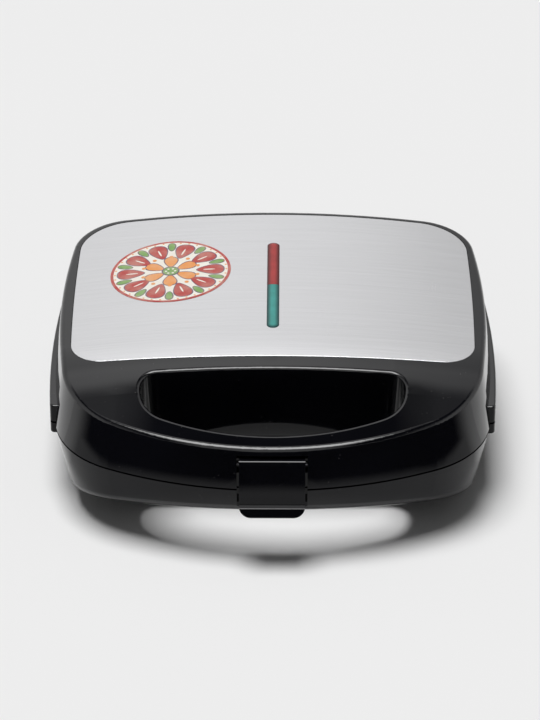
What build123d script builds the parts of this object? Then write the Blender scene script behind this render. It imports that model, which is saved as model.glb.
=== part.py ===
from build123d import *
from math import atan2, degrees, hypot, radians, sin, sqrt, tan
import os

# Two-slice sandwich maker, closed. +X right, +Y to the hinges, +Z up, millimetres.
# The origin is on the floor, under the middle of the overall width and depth.

# --- Case -----------------------------------------------------------------------------
case_width = 231.2           # across the parting rim at its widest
case_depth = 213.0           # parting rim, front to rear
overall_height = 90.0        # floor to the crown of the lid
parting_height = 45.0        # middle of the gap between base and lid
parting_gap = 1.0
wall = 2.6
front_bulge = 34.3           # how far each edge of the rim bows out past its corners
side_bulge = 7.6
rear_bulge = 2.5
front_corner = 52.0
rear_corner = 32.0

# --- Lid form -------------------------------------------------------------------------
lid_draft = 7.0              # lean of the lid's side walls, degrees
lid_edge = 3.0               # rounding of the ridge round the top
crown_radius = 714.0         # the top is gently crowned from side to side
lid_bend_setback = 56.0      # from the front of the case to the bend in the top
lid_bend_radius = 100.0

# --- Base form ------------------------------------------------------------------------
base_draft = 12.0
base_edge = 8.0
base_bend_setback = 59.0     # from the front of the case to the bend in the underside
base_bend_radius = 30.0
foot_height = 8.0
foot_radius = 7.0
foot_taper = 0.8
foot_stem_radius = 2.8
foot_stem_length = 5.0
foot_inset_x = 36.1          # from the side of the case
foot_inset_front = 71.0
foot_inset_rear = 28.0
vent_count = 5
vent_length = 50.0
vent_width = 3.0
vent_pitch = 7.0

# --- Handle ---------------------------------------------------------------------------
handle_rise = 21.8           # its front edge, above and below the parting height
handle_drop = 13.2
opening_width = 134.0        # D-shaped finger opening through lid and base
opening_depth = 38.4
handle_bar = 11.6            # case front to opening, on the centre line
opening_bulge = 18.0
opening_front_corner = 20.0
opening_rear_corner = 8.0
opening_edge = 1.8

# --- Side bumpers ---------------------------------------------------------------------
bumper_front_reach = 2.6     # out from the rim at its front end, its middle and its rear end
bumper_middle_reach = 1.15
bumper_rear_reach = 0.9
bumper_up = 10.4             # above and below the parting height
bumper_down = 6.6
bumper_front_setback = 63.2  # from the front of the case
bumper_length = 115.0
bumper_end_radius = 2.2
bumper_edge = 1.0

# --- Steel panel and indicator bar ----------------------------------------------------
panel_thickness = 0.8
panel_gap = 0.35
panel_edge = 0.25
panel_side_margin = 10.8     # from the widest edge of the case
panel_front_margin = 8.7     # behind the finger opening
panel_rear_margin = 9.6
panel_front_corner = 18.0
panel_rear_corner = 26.0
panel_front_bulge = 3.2
panel_bulge = 1.6             # at its sides and its rear edge
lens_width = 6.4
lens_length = 88.6           # both lenses together
lens_front_margin = 24.9     # behind the panel's front edge
lens_split = 43.6            # length of the green lens, in front
lens_rise = 0.6
lens_flange = 1.5
lens_flange_thickness = 1.2

# --- Hinges ---------------------------------------------------------------------------
hinge_reach = 11.0           # how far the barrels stand out behind the case
barrel_radius = 5.5
hinge_height = 1.5           # axis above the parting height
hinge_offset = 62.0          # middle of each knuckle from the centre line
knuckle_length = 24.0
ear_thickness = 5.0
ear_drop = 14.0
hinge_pin_radius = 2.0

# --- Latch ----------------------------------------------------------------------------
latch_reach = 6.0            # how far its finger tab stands out in front
latch_width = 33.2
latch_tip = 3.2              # thickness of the finger tab's edge
latch_barrel_radius = 3.2
latch_pivot_height = 12.3    # above the parting height
latch_pivot_depth = 5.0      # behind the front of the case
latch_seat = 2.8             # its back, behind the front of the case
latch_face_stand = 2.3       # foot of its leaning face, in front of the case
latch_head_rise = 4.7        # top of its head above the pivot
latch_head_setback = 0.8     # head of its face, behind the front of the case
latch_head_back = 1.6        # rear edge of its head, in front of the pivot
latch_head_radius = 0.9
latch_drop = 12.5            # below the parting height
latch_lip_height = 5.0       # front of the finger tab
latch_lip_lean = 1.1
latch_ledge_drop = 0.2       # from the foot of its face to the finger tab
latch_edge = 0.5
latch_corner = 6.0
latch_pin_radius = 1.25
latch_pin_engagement = 2.0
latch_side_gap = 1.15
hook_drop = 4.5              # top of the hook below the parting height
hook_height = 3.0
hook_reach = 3.2
hook_play = 0.6

# --- Cooking plates and inner frames --------------------------------------------------
plate_gap = 0.3
plate_corner = 14.0
plate_flange = 3.5           # thickness of the rim flange
plate_flange_width = 6.0
pocket_floor = 4.3           # metal under a pocket
pocket_rim = 10.0            # metal between neighbouring pockets
pocket_corner = 7.0
pocket_taper = 18.0
plate_boss_radius = 4.5
plate_boss_x = 46.0
plate_boss_y = 16.0
deck_side = 11.0             # width of the inner frame round the plate
deck_front = 12.4
deck_rear = 15.4
deck_thickness = 2.2
deck_pad = 2.0
deck_post_radius = 4.5
deck_gap = 0.3
plate_side_gap = 0.6
bead_height = 0.7            # raised bead round the lower frame, in the parting gap
bead_width = 1.5

# --- Heating elements and reflectors --------------------------------------------------
heater_radius = 3.25
heater_inset_x = 24.0        # loop, in from the edge of the plate
heater_inset_y = 29.0
heater_lead = 14.0           # half distance between its two ends
heater_lead_length = 10.0
heater_bend = 8.0
bead_radius = 3.1
bead_length = 5.0
tab_size = (6.3, 7.0, 0.8)   # width, length, thickness
strap_thickness = 1.2
strap_width = 10.0
strap_ear = 8.0
reflector_gap = 0.8
reflector_thickness = 0.7
reflector_inset = 4.0
reflector_rim = 4.0

# --- Small electrical parts -----------------------------------------------------------
fuse_radius = 2.2
fuse_length = 13.0
clip_reach = 12.0            # screws beside the fuse and the thermostat
thermostat_radius = 8.0
thermostat_height = 6.0
lamp_radius = 2.4
lamp_length = 20.0
lamp_gap = 1.925             # round a lamp in its bay
carrier_wall = 1.2
carrier_half_width = 7.5
carrier_gap = 5.5            # between reflector and lamp carrier
carrier_ear = 12.0
carrier_post_radius = 3.5
terminal_block_size = (34.0, 8.0, 9.0)
terminal_pad = 3.0
terminal_block_offset = 40.0
wire_radius = 1.2
wire_bend = 4.0
gland_height = 25.0
gland_bore = 3.6
gland_radius = 6.5
gland_flange = 2.0
gland_flange_thickness = 2.0
gland_seat_depth = 7.0

# --- Fasteners and clearances ---------------------------------------------------------
plate_screw_radius = 2.0
plate_screw_head = (3.8, 2.4)      # radius, height
plate_screw_bite = 3.0             # into the plate above its boss
plate_post_radius = 6.0
plate_post_land = 5.6              # plastic under the head
plate_screw_sink = 0.65            # lowest head above the inside of the base
small_screw_radius = 1.4
small_screw_head = (2.7, 1.7)
small_screw_bite = 3.0
deck_screw_length = 12.0
running_gap = 0.05                 # round a pin or a screw in its bore
hole_gap = 0.25                    # round a screw in a clearance hole
moving_gap = 0.4                   # between pieces that move past each other
pick = 0.05                        # how near an edge is to the place it is picked by

# --- Places worked out from the sizes -------------------------------------------------
overall_depth = latch_reach + case_depth + hinge_reach
case_front = -overall_depth / 2 + latch_reach
case_rear = case_front + case_depth
half_case = case_width / 2
base_rim = parting_height - parting_gap / 2
lid_rim = parting_height + parting_gap / 2
far = 2 * (case_width + case_depth)

opening_front = case_front + handle_bar
opening_rear = opening_front + opening_depth

lid_slope = degrees(atan2(overall_height - parting_height - handle_rise, lid_bend_setback))
base_slope = degrees(atan2(parting_height - handle_drop - foot_height, base_bend_setback))
bumper_root = 0.8 * wall

hinge_y = case_rear + hinge_reach - barrel_radius
hinge_z = parting_height + hinge_height
latch_y = case_front + latch_pivot_depth
latch_z = parting_height + latch_pivot_height
latch_head_front = case_front + latch_head_setback
latch_back = case_front + latch_seat
recess_floor = latch_back + moving_gap
recess_half = latch_width / 2 + latch_side_gap
recess_top = latch_z + hypot(latch_y - latch_head_front, latch_head_rise) + moving_gap
boss_half = recess_half + wall
hook_top = parting_height - hook_drop
hook_bottom = hook_top - hook_height
hook_back = latch_back + hook_reach

plate_half = half_case - wall - deck_side
plate_front = opening_rear + wall + deck_front
plate_rear = case_rear - wall - deck_rear
plate_middle = (plate_front + plate_rear) / 2
plate_rim = parting_height - plate_gap / 2

# The tighter half of the case sets the depth of both plates.
heating_stack = 2 * (heater_radius + running_gap) + strap_thickness + reflector_gap + reflector_thickness
lamp_roof = overall_height - wall - lens_flange_thickness - 2 * running_gap
carrier_floor = lamp_roof - 2 * (lamp_radius + lamp_gap) - carrier_wall
lid_room = carrier_floor - parting_height - plate_gap / 2 - heating_stack - carrier_gap
plate_screw_floor = foot_height + wall + plate_screw_sink
base_room = plate_rim - heating_stack - plate_post_land - plate_screw_head[1] - plate_screw_floor
plate_depth = min(base_room, lid_room)
pocket_depth = plate_depth - pocket_floor
pocket_floor_radius = pocket_depth / 3
plate_floor = plate_rim - plate_depth
plate_bosses = [
    (side * plate_boss_x, plate_middle + row * plate_boss_y) for side in (-1, 1) for row in (-1, 1)
]
heater_z = plate_floor - heater_radius - running_gap
reflector_top = heater_z - heater_radius - running_gap - strap_thickness - reflector_gap
reflector_floor = reflector_top - reflector_thickness
screw_seat = reflector_floor - plate_post_land

deck_underside = base_rim - deck_thickness
deck_screw_y = (opening_rear - opening_rear_corner, (plate_rear + case_rear - wall) / 2)
deck_screws = [
    (side * (opening_width / 2 + plate_half) / 2, y) for side in (-1, 1) for y in deck_screw_y
]
heater_x = plate_half - heater_inset_x
heater_front = plate_front + heater_inset_y
heater_rear = plate_rear - heater_inset_y
heater_end = heater_rear + heater_lead_length
terminal_end = heater_end + bead_length + tab_size[1]

panel_half = half_case - panel_side_margin
panel_front = opening_rear + panel_front_margin
panel_rear = case_rear - panel_rear_margin
lens_front = panel_front + lens_front_margin
lens_rear = lens_front + lens_length
lens_break = lens_front + lens_split
carrier_screw_y = (lens_front - wall - carrier_ear / 2, lens_rear + wall + carrier_ear / 2)
lamp_z = lamp_roof - lamp_gap - lamp_radius
lamp_tip_radius = 0.8 * lamp_radius
fuse_z = plate_floor - fuse_radius - running_gap
wire_y = plate_rear + 2 * wire_radius
terminal_floor = foot_height + wall + terminal_pad
terminal_top = terminal_floor + terminal_block_size[2]
lamp_wire_x = carrier_post_radius + wire_radius + moving_gap
heater_strap_reach = heater_radius + running_gap + strap_thickness + strap_ear / 2
gland_boss_radius = gland_radius + 2 * gland_flange
gland_seat = case_rear - (base_rim - gland_height - gland_boss_radius) * tan(radians(base_draft))


# --- Outlines and forms ---------------------------------------------------------------
def bowed_edge(start, middle, end):
    """Arc through three points, or a straight line where they are in line."""
    bow = (middle[0] - start[0]) * (end[1] - start[1]) - (middle[1] - start[1]) * (end[0] - start[0])
    return Line(start, end) if abs(bow) < pick else ThreePointArc(start, middle, end)


def bowed_outline(half_width, front, rear, bulges, corners):
    """Four-sided face whose front, side and rear edges bow outwards, with rounded corners."""
    front_bow, side_bow, rear_bow = bulges
    side_x = half_width - side_bow
    front_y = front + front_bow
    rear_y = rear - rear_bow
    middle_y = (front_y + rear_y) / 2
    face = make_face([
        bowed_edge((-side_x, front_y), (0, front), (side_x, front_y)),
        bowed_edge((side_x, front_y), (half_width, middle_y), (side_x, rear_y)),
        bowed_edge((side_x, rear_y), (0, rear), (-side_x, rear_y)),
        bowed_edge((-side_x, rear_y), (-half_width, middle_y), (-side_x, front_y)),
    ])
    face = fillet(face.vertices().sort_by(Axis.Y)[:2], corners[0])
    return fillet(face.vertices().sort_by(Axis.Y)[-2:], corners[1])


def case_outline(inset=0.0):
    """Rim of the case, set in from its outer edge."""
    bulges = (front_bulge, side_bulge, rear_bulge)
    rim = bowed_outline(half_case, case_front, case_rear, bulges, (front_corner, rear_corner))
    return offset(rim, amount=-inset) if inset else rim


def opening_outline(grow=0.0):
    """D-shaped finger opening, grown outwards."""
    half_width = opening_width / 2
    arc_radius = (half_width ** 2 + opening_bulge ** 2) / (2 * opening_bulge) + grow
    bulge = arc_radius - sqrt(arc_radius ** 2 - (half_width + grow) ** 2)
    corners = (opening_front_corner + grow, opening_rear_corner + grow)
    limits = (half_width + grow, opening_front - grow, opening_rear + grow)
    return bowed_outline(*limits, (bulge, 0, 0), corners)


def panel_outline(grow=0.0):
    """Steel panel seen from above, grown outwards."""
    corners = (panel_front_corner + grow, panel_rear_corner + grow)
    bulges = (panel_front_bulge, panel_bulge, panel_bulge)
    return bowed_outline(panel_half + grow, panel_front - grow, panel_rear + grow, bulges, corners)


def plate_outline(inset=0.0):
    """Cooking plate seen from above, set in from its edge."""
    face = RectangleRounded(2 * plate_half, plate_rear - plate_front, plate_corner)
    face = Pos(0, plate_middle) * face
    return offset(face, amount=-inset) if inset else face


def column(face, bottom, top):
    """Upright prism of a face between two heights."""
    return extrude(Pos(0, 0, bottom) * face, amount=top - bottom, dir=(0, 0, 1))


def slab(x, y, z):
    """Box from its low and high limits along each axis."""
    size = [high - low for low, high in (x, y, z)]
    middle = [(high + low) / 2 for low, high in (x, y, z)]
    return Pos(*middle) * Box(*size)


def rod(x, y, radius, bottom, top):
    """Upright round bar."""
    return Pos(x, y, (bottom + top) / 2) * Cylinder(radius, top - bottom)


def cross_rod(y, z, radius, left, right):
    """Round bar along X."""
    return Pos((left + right) / 2, y, z) * Rot(0, 90, 0) * Cylinder(radius, right - left)


def long_rod(x, z, radius, front, rear):
    """Round bar along Y."""
    return Pos(x, (front + rear) / 2, z) * Rot(90, 0, 0) * Cylinder(radius, rear - front)


def flip(piece):
    """Mirror a piece from the base into the lid."""
    return mirror(piece, about=Plane.XY.offset(parting_height))


def bent_side(level, bend_y, slope, radius, fill):
    """YZ face between a flat-then-sloping skin line and a far fill height."""
    drop = (bend_y + far) * tan(radians(slope)) * (1 if fill < level else -1)
    rear = (0, far, level)
    front = (0, -far, level - drop)
    skin = FilletPolyline(rear, (0, bend_y, level), front, radius=radius)
    low_front = (0, -far, fill)
    low_rear = (0, far, fill)
    sides = [Line(front, low_front), Line(low_front, low_rear), Line(low_rear, rear)]
    return make_face([*skin.edges(), *sides])


def under_lid_skin(depth=0.0):
    """Everything under the lid's top surface, set in by a depth and crowned about a long axis."""
    bend_y = case_front + lid_bend_setback + depth * tan(radians(lid_slope) / 2)
    level = overall_height - depth
    fall = (bend_y + far) * tan(radians(lid_slope))
    side = bent_side(level, bend_y, lid_slope, lid_bend_radius - depth, level - fall - wall)
    axis = Axis((0, 0, overall_height - crown_radius), (0, 1, 0))
    sector = 30.0
    return revolve(side.rotate(axis, -sector / 2), axis, sector)


def above_base_skin(depth=0.0):
    """Everything above the base's underside, set in by a depth."""
    bend_y = case_front + base_bend_setback + depth * tan(radians(base_slope) / 2)
    level = foot_height + depth
    rise = (bend_y + far) * tan(radians(base_slope))
    side = bent_side(level, bend_y, base_slope, base_bend_radius - depth, level + rise + wall)
    return extrude(side, amount=far, dir=(1, 0, 0), both=True)


def ridge_edges(form, rim):
    """Edges where the side walls meet the skin, away from the rim."""
    sides = [face for face in form.faces() if abs(face.normal_at().Z) < 0.5]
    return [edge for face in sides for edge in face.edges() if abs(edge.center().Z - rim) > wall
            and max(abs(vertex.Z - rim) for vertex in edge.vertices()) > wall
            and min(abs(vertex.Z - rim) for vertex in edge.vertices()) > wall]


def lid_form(depth=0.0):
    """Solid lid, set in by a depth, with its ridge rounded."""
    rim = Pos(0, 0, lid_rim) * case_outline(depth)
    form = extrude(rim, amount=overall_height, taper=lid_draft) & under_lid_skin(depth)
    rounding = lid_edge - depth
    return fillet(ridge_edges(form, lid_rim), rounding) if rounding > 0.5 else form


def base_form(depth=0.0):
    """Solid base, set in by a depth, with its lower edge rounded."""
    rim = Pos(0, 0, base_rim) * case_outline(depth)
    form = extrude(rim, amount=parting_height, dir=(0, 0, -1), taper=base_draft)
    form = form & above_base_skin(depth)
    rounding = base_edge - depth
    return fillet(ridge_edges(form, base_rim), rounding) if rounding > 0.5 else form


def cut_opening(form, rim):
    """Cut the finger opening through a form and round its outer edge."""
    form = form - column(opening_outline(), -far, far)
    middle_y = (opening_front + opening_rear) / 2
    edges = [edge for edge in form.edges()
             if abs(edge.center().Z - rim) > wall + opening_edge
             and abs(edge.center().X) < opening_width / 2 + pick
             and abs(edge.center().Y - middle_y) < opening_depth / 2 + pick
             and edge.tangent_at(0.5).Z ** 2 < 0.9]
    return fillet(edges, opening_edge)


def rim_half_width(y):
    """Half width of the case's rim at a depth."""
    strip = case_outline() & (Pos(0, y) * Rectangle(far, pick))
    return strip.bounding_box().max.X


def bumper_outline():
    """Right bumper seen from above: an arc that leaves the rim towards the front."""
    front = case_front + bumper_front_setback
    depths = (front, front + bumper_length / 2, front + bumper_length)
    reaches = (bumper_front_reach, bumper_middle_reach, bumper_rear_reach)
    outer = [(rim_half_width(y) + reach, y) for y, reach in zip(depths, reaches)]
    inner = Polyline(outer[-1], (0, depths[-1]), (0, depths[0]), outer[0])
    return make_face([ThreePointArc(*outer), *inner.edges()]) - case_outline(bumper_root)


def bumpers(bottom, top, level):
    """Half bumpers of both sides, rounded at their ends and at one level."""
    case = column(case_outline(), -far, far)
    right = bumper_outline()
    pieces = []
    for face in (right, mirror(right, about=Plane.YZ)):
        block = column(face, bottom, top)
        ends = [edge for edge in block.edges().filter_by(Axis.Z) if not case.is_inside(edge.center())]
        block = fillet(ends, bumper_end_radius)
        rim = [edge for edge in block.edges()
               if abs(edge.center().Z - level) < pick and not case.is_inside(edge.center())]
        pieces.append(fillet(rim, bumper_edge))
    return pieces


# --- Shells ---------------------------------------------------------------------------
def plate_posts(bottom, top):
    """Posts that carry a reflector and its plate screws."""
    return [rod(x, y, plate_post_radius, bottom, top) for x, y in plate_bosses]


def deck_posts(bottom, top):
    """Posts under the pads of an inner frame."""
    return [rod(x, y, deck_post_radius, bottom, top) for x, y in deck_screws]


def screw_bores():
    """Bores for the plate and frame screws, as they lie in the base."""
    bores = []
    for x, y in plate_bosses:
        bores.append(rod(x, y, plate_screw_radius + hole_gap, screw_seat - wall, plate_floor))
        bores.append(rod(x, y, plate_screw_head[0] + 2 * hole_gap, -far, screw_seat))
    end = deck_underside - deck_screw_length
    for x, y in deck_screws:
        bores.append(rod(x, y, small_screw_radius + running_gap, end - hole_gap, base_rim))
    return bores


def latch_block(bottom, top):
    """Solid block behind the latch, from the front of the case to the finger opening."""
    return slab((-boss_half, boss_half), (case_front - wall, opening_front), (bottom, top))


def hinge_places():
    """Ear and knuckle limits along X, for both sides."""
    half = knuckle_length / 2
    for side in (-1, 1):
        middle = side * hinge_offset
        ears = [
            (middle - half - moving_gap - ear_thickness, middle - half - moving_gap),
            (middle + half + moving_gap, middle + half + moving_gap + ear_thickness),
        ]
        yield (middle - half, middle + half), ears


def knuckle(left, right):
    """Lid knuckle: barrel and the web that ties it to the rear wall."""
    barrel = cross_rod(hinge_y, hinge_z, barrel_radius, left, right)
    web = slab((left, right), (case_rear - wall, hinge_y), (lid_rim, hinge_z + barrel_radius))
    return barrel + web


def ear(left, right):
    """Base ear: barrel on a gusset that runs down the rear wall at 45 degrees."""
    reach = barrel_radius * sin(radians(45))
    lean = ear_drop * tan(radians(base_draft))
    gusset = make_face(Polyline(
        (left, case_rear - wall, base_rim),
        (left, hinge_y, base_rim),
        (left, hinge_y + reach, hinge_z - reach),
        (left, case_rear - wall / 2 - lean, base_rim - ear_drop),
        close=True,
    ))
    barrel = cross_rod(hinge_y, hinge_z, barrel_radius, left, right)
    return barrel + extrude(gusset, amount=right - left, dir=(1, 0, 0))


def hinge_notch(left, right):
    """Room for a barrel of the other shell to turn in."""
    room = barrel_radius + 2 * moving_gap
    return cross_rod(hinge_y, hinge_z, room, left - moving_gap, right + moving_gap)


def hinge_bores(gap):
    """Bores for both hinge pins."""
    reach = knuckle_length / 2 + moving_gap + ear_thickness + wall
    radius = hinge_pin_radius + gap
    middles = (-hinge_offset, hinge_offset)
    return [cross_rod(hinge_y, hinge_z, radius, middle - reach, middle + reach) for middle in middles]


def upper_housing():
    """Lid shell with the handle's upper half, latch recess, posts and hinge knuckles."""
    form = cut_opening(lid_form(), lid_rim)
    cavity = lid_form(wall) - column(opening_outline(wall), -far, far)
    cavity = cavity - latch_block(lid_rim, recess_top + wall)
    post_foot = 2 * parting_height - reflector_floor
    for post in plate_posts(post_foot, overall_height):
        cavity = cavity - post
    for post in deck_posts(2 * parting_height - deck_underside + deck_pad, overall_height):
        cavity = cavity - post
    carrier_seat = carrier_floor + carrier_wall
    for y in carrier_screw_y:
        cavity = cavity - rod(0, y, carrier_post_radius, carrier_seat, overall_height)
    shell = form - cavity
    bumper_top = parting_height + bumper_up
    for piece in bumpers(lid_rim, bumper_top, bumper_top):
        shell = shell + piece
    panel_bed = column(panel_outline(panel_gap), parting_height, far)
    shell = shell - (panel_bed - under_lid_skin(panel_thickness))
    shell = shell - column(lens_outline(lens_front, lens_rear, running_gap), parting_height, far)
    for bore in screw_bores():
        shell = shell - flip(bore)
    carrier_bore = small_screw_radius + running_gap
    for y in carrier_screw_y:
        shell = shell - rod(0, y, carrier_bore, lid_rim, carrier_seat + small_screw_bite)
    recess = (-recess_half, recess_half)
    room = latch_barrel_radius + 2 * moving_gap
    shell = shell - slab(recess, (-far, recess_floor), (parting_height, recess_top))
    shell = shell - slab(recess, (-far, latch_y + room), (latch_z, recess_top))
    shell = shell - cross_rod(latch_y, latch_z, room, *recess)
    shell = shell - latch_pin(running_gap)
    for knuckle_span, ears in hinge_places():
        shell = shell + knuckle(*knuckle_span)
        for ear_span in ears:
            shell = shell - hinge_notch(*ear_span)
    for bore in hinge_bores(running_gap):
        shell = shell - bore
    return shell


def lower_housing():
    """Base shell with the handle's lower half, latch lip, posts, vents and hinge ears."""
    form = cut_opening(base_form(), base_rim)
    cavity = base_form(wall) - column(opening_outline(wall), -far, far)
    cavity = cavity - latch_block(-far, base_rim) - terminal_slab(0, terminal_floor)
    for post in plate_posts(0, reflector_floor) + deck_posts(0, deck_underside - deck_pad):
        cavity = cavity - post
    shell = form - cavity
    bumper_bottom = parting_height - bumper_down
    for piece in bumpers(bumper_bottom, base_rim, bumper_bottom):
        shell = shell + piece
    for bore in screw_bores():
        shell = shell - bore
    for x, y in foot_places():
        shell = shell - rod(x, y, foot_stem_radius + running_gap, 0, foot_height + foot_stem_length)
    for index in range(vent_count):
        y = plate_middle + (index - (vent_count - 1) / 2) * vent_pitch
        shell = shell - column(Pos(0, y) * SlotOverall(vent_length, vent_width), 0, screw_seat)
    recess = (-recess_half, recess_half)
    hook_room = (hook_bottom - 2 * hook_play, hook_top + hook_play)
    shell = shell - slab(recess, (-far, recess_floor), (0, parting_height))
    shell = shell - slab(recess, (-far, hook_back + 2 * moving_gap), hook_room)
    gland_inner = gland_seat - gland_seat_depth
    gland_hole = gland_radius + running_gap
    shell = shell + long_rod(0, gland_height, gland_boss_radius, gland_inner, gland_seat)
    shell = shell - long_rod(0, gland_height, gland_hole, gland_inner - wall, gland_seat + wall)
    for knuckle_span, ears in hinge_places():
        for ear_span in ears:
            shell = shell + ear(*ear_span)
        shell = shell - hinge_notch(*knuckle_span)
    for bore in hinge_bores(running_gap):
        shell = shell - bore
    return shell


# --- Pieces of the lid's top ----------------------------------------------------------
def top_panel():
    """Brushed steel panel that follows the lid's crown and bend."""
    sheet = column(panel_outline(), parting_height, far) & under_lid_skin()
    sheet = sheet - under_lid_skin(panel_thickness)
    sides = [face for face in sheet.faces() if abs(face.normal_at().Z) < 0.5]
    top_edges = []
    for side in sides:
        level = [edge for edge in side.edges() if abs(edge.tangent_at(0.5).Z) < 0.5]
        top_edges.append(ShapeList(level).sort_by(Axis.Z)[-1])
    sheet = fillet(top_edges, panel_edge)
    return sheet - column(lens_outline(lens_front, lens_rear, running_gap), parting_height, far)


def lens_outline(front, rear, grow=0.0):
    """Stretch of the indicator bar, rounded at the bar's own ends only."""
    whole = Pos(0, (lens_front + lens_rear) / 2) * SlotOverall(lens_length, lens_width, rotation=90)
    zone = Pos(0, (front + rear) / 2) * Rectangle(far, rear - front)
    face = whole & zone
    return offset(face, amount=grow) if grow else face


def lens(front, rear):
    """Coloured lens: a raised bar with a flange under the lid."""
    underside = overall_height - wall - running_gap
    bar = column(lens_outline(front, rear), underside, overall_height + lens_rise)
    bar = fillet(bar.faces().sort_by(Axis.Z)[-1].edges(), lens_rise / 2)
    flange = Pos(0, (front + rear) / 2) * Rectangle(lens_width + 2 * lens_flange, rear - front)
    return bar + column(flange, underside - lens_flange_thickness, underside)


def lamp_carrier():
    """Tray under the lenses with a wall between the two lamps and an ear at each end."""
    half = carrier_half_width
    inner = half - carrier_wall
    seat = carrier_floor + carrier_wall
    tray = slab((-half, half), (lens_front - wall, lens_rear + wall), (carrier_floor, lamp_roof))
    for front, rear in lamp_bays():
        tray = tray - slab((-inner, inner), (front, rear), (seat, far))
    for y in carrier_screw_y:
        ear_depth = (y - carrier_ear / 2, y + carrier_ear / 2)
        tray = tray + slab((-half, half), ear_depth, (carrier_floor, seat))
        tray = tray - rod(0, y, small_screw_radius + hole_gap, 0, seat)
    wire_hole = wire_radius + running_gap
    for x in (-lamp_wire_x, lamp_wire_x):
        tray = tray - long_rod(x, lamp_z, wire_hole, lens_rear - wall, far)
    return tray


def lamp_bays():
    """Front and rear limits of the green and the red lamp's bay."""
    parting = carrier_wall / 2
    return (lens_front, lens_break - parting), (lens_break + parting, lens_rear)


def neon_lamp(bay):
    """Glass lamp in the middle of its bay, domed in front, with two leads behind."""
    front = (bay[0] + bay[1] - lamp_length) / 2
    rear = front + lamp_length
    lamp = long_rod(0, lamp_z, lamp_radius, front, rear)
    lamp = fillet(lamp.edges().sort_by(Axis.Y)[:1], lamp_tip_radius)
    for x in (-lamp_radius / 2, lamp_radius / 2):
        lamp = lamp + long_rod(x, lamp_z, wire_radius / 4, rear, rear + lamp_length / 3)
    return lamp


# --- Latch ----------------------------------------------------------------------------
def latch_pin(gap=0.0):
    """Pin across the latch recess, or the room for it."""
    half = boss_half + moving_gap if gap else recess_half + latch_pin_engagement
    return cross_rod(latch_y, latch_z, latch_pin_radius + gap, -half, half)


def latch():
    """Front clip: barrel and head at the top, leaning face, hook behind, finger tab at the foot."""
    foot = parting_height - latch_drop
    lip_top = foot + latch_lip_height
    tab_front = case_front - latch_reach
    half = latch_width / 2
    head = latch_z + latch_head_rise
    side = make_face(Polyline(
        (-half, latch_head_front, head),
        (-half, case_front - latch_face_stand, lip_top + latch_ledge_drop),
        (-half, tab_front + latch_lip_lean, lip_top),
        (-half, tab_front, foot),
        (-half, tab_front + latch_tip, foot),
        (-half, latch_back, hook_bottom),
        (-half, hook_back, hook_bottom),
        (-half, hook_back, hook_top),
        (-half, latch_back, hook_top + hook_play / 2),
        (-half, latch_back, latch_z),
        (-half, latch_y, latch_z),
        (-half, latch_y - latch_head_back, head),
        close=True,
    ))
    side = fillet(side.vertices().sort_by(Axis.Y)[1], latch_edge)
    side = fillet(side.vertices().sort_by(lambda vertex: vertex.Z - vertex.Y)[-1], latch_head_radius)
    body = extrude(side, amount=latch_width, dir=(1, 0, 0))
    body = body + cross_rod(latch_y, latch_z, latch_barrel_radius, -half, half)
    front_view = Pos(0, foot + far / 2) * Rectangle(latch_width, far)
    front_view = fillet(front_view.vertices().sort_by(Axis.Y)[:2], latch_corner)
    body = body & extrude(Plane.XZ * front_view, amount=far, both=True)
    return body - latch_pin(running_gap)


def hinge_pin(side):
    """Steel pin through two ears and a knuckle."""
    reach = knuckle_length / 2 + moving_gap + ear_thickness
    middle = side * hinge_offset
    return cross_rod(hinge_y, hinge_z, hinge_pin_radius, middle - reach, middle + reach)


# --- Cooking plates, frames, heating --------------------------------------------------
def pocket_faces():
    """Four right triangles: each slice is cut corner to corner."""
    slices = ((0, plate_half - pocket_rim / 2), (0, -plate_half + pocket_rim / 2))
    front = plate_front + pocket_rim / 2
    rear = plate_rear - pocket_rim / 2
    for inner, outer in slices:
        for corner in ((outer, front), (inner, rear)):
            triangle = make_face(Polyline((inner, front), corner, (outer, rear), close=True))
            triangle = offset(triangle, amount=-pocket_rim / 2, kind=Kind.INTERSECTION)
            yield fillet(triangle.vertices(), pocket_corner)


def lower_plate():
    """Cast cooking plate with four triangular pockets and screw bosses."""
    plate = column(plate_outline(), plate_rim - plate_flange, plate_rim)
    plate = plate + column(plate_outline(plate_flange_width), plate_floor, plate_rim)
    for face in pocket_faces():
        rim = Pos(0, 0, plate_rim) * face
        pocket = extrude(rim, amount=pocket_depth, dir=(0, 0, -1), taper=pocket_taper)
        pocket = fillet(pocket.faces().sort_by(Axis.Z)[0].edges(), pocket_floor_radius)
        plate = plate - pocket
    for x, y in plate_bosses:
        plate = plate + rod(x, y, plate_boss_radius, reflector_top, plate_floor)
        plate = plate - rod(x, y, plate_screw_radius + running_gap, 0, plate_floor + plate_screw_bite)
    for x, y in strap_screws():
        plate = plate - rod(x, y, small_screw_radius + running_gap, 0, plate_floor + small_screw_bite)
    return plate


def lower_deck():
    """Inner frame round the plate, closing the shell and the handle."""
    rim = Pos(0, 0, base_rim) * case_outline(wall + deck_gap)
    deck = extrude(rim, amount=deck_thickness, dir=(0, 0, -1), taper=base_draft)
    deck = deck - column(plate_outline(-plate_side_gap), 0, far)
    deck = deck - column(opening_outline(wall + deck_gap), 0, far)
    reach = boss_half + deck_gap
    deck = deck - slab((-reach, reach), (-far, opening_rear), (0, far))
    head_radius, head_height = small_screw_head
    head_seat = base_rim - head_height - hole_gap
    for x, y in deck_screws:
        deck = deck + rod(x, y, deck_post_radius, deck_underside - deck_pad, deck_underside)
        deck = deck - rod(x, y, small_screw_radius + hole_gap, 0, far)
        deck = deck - rod(x, y, head_radius + hole_gap, head_seat, far)
    return deck


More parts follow.
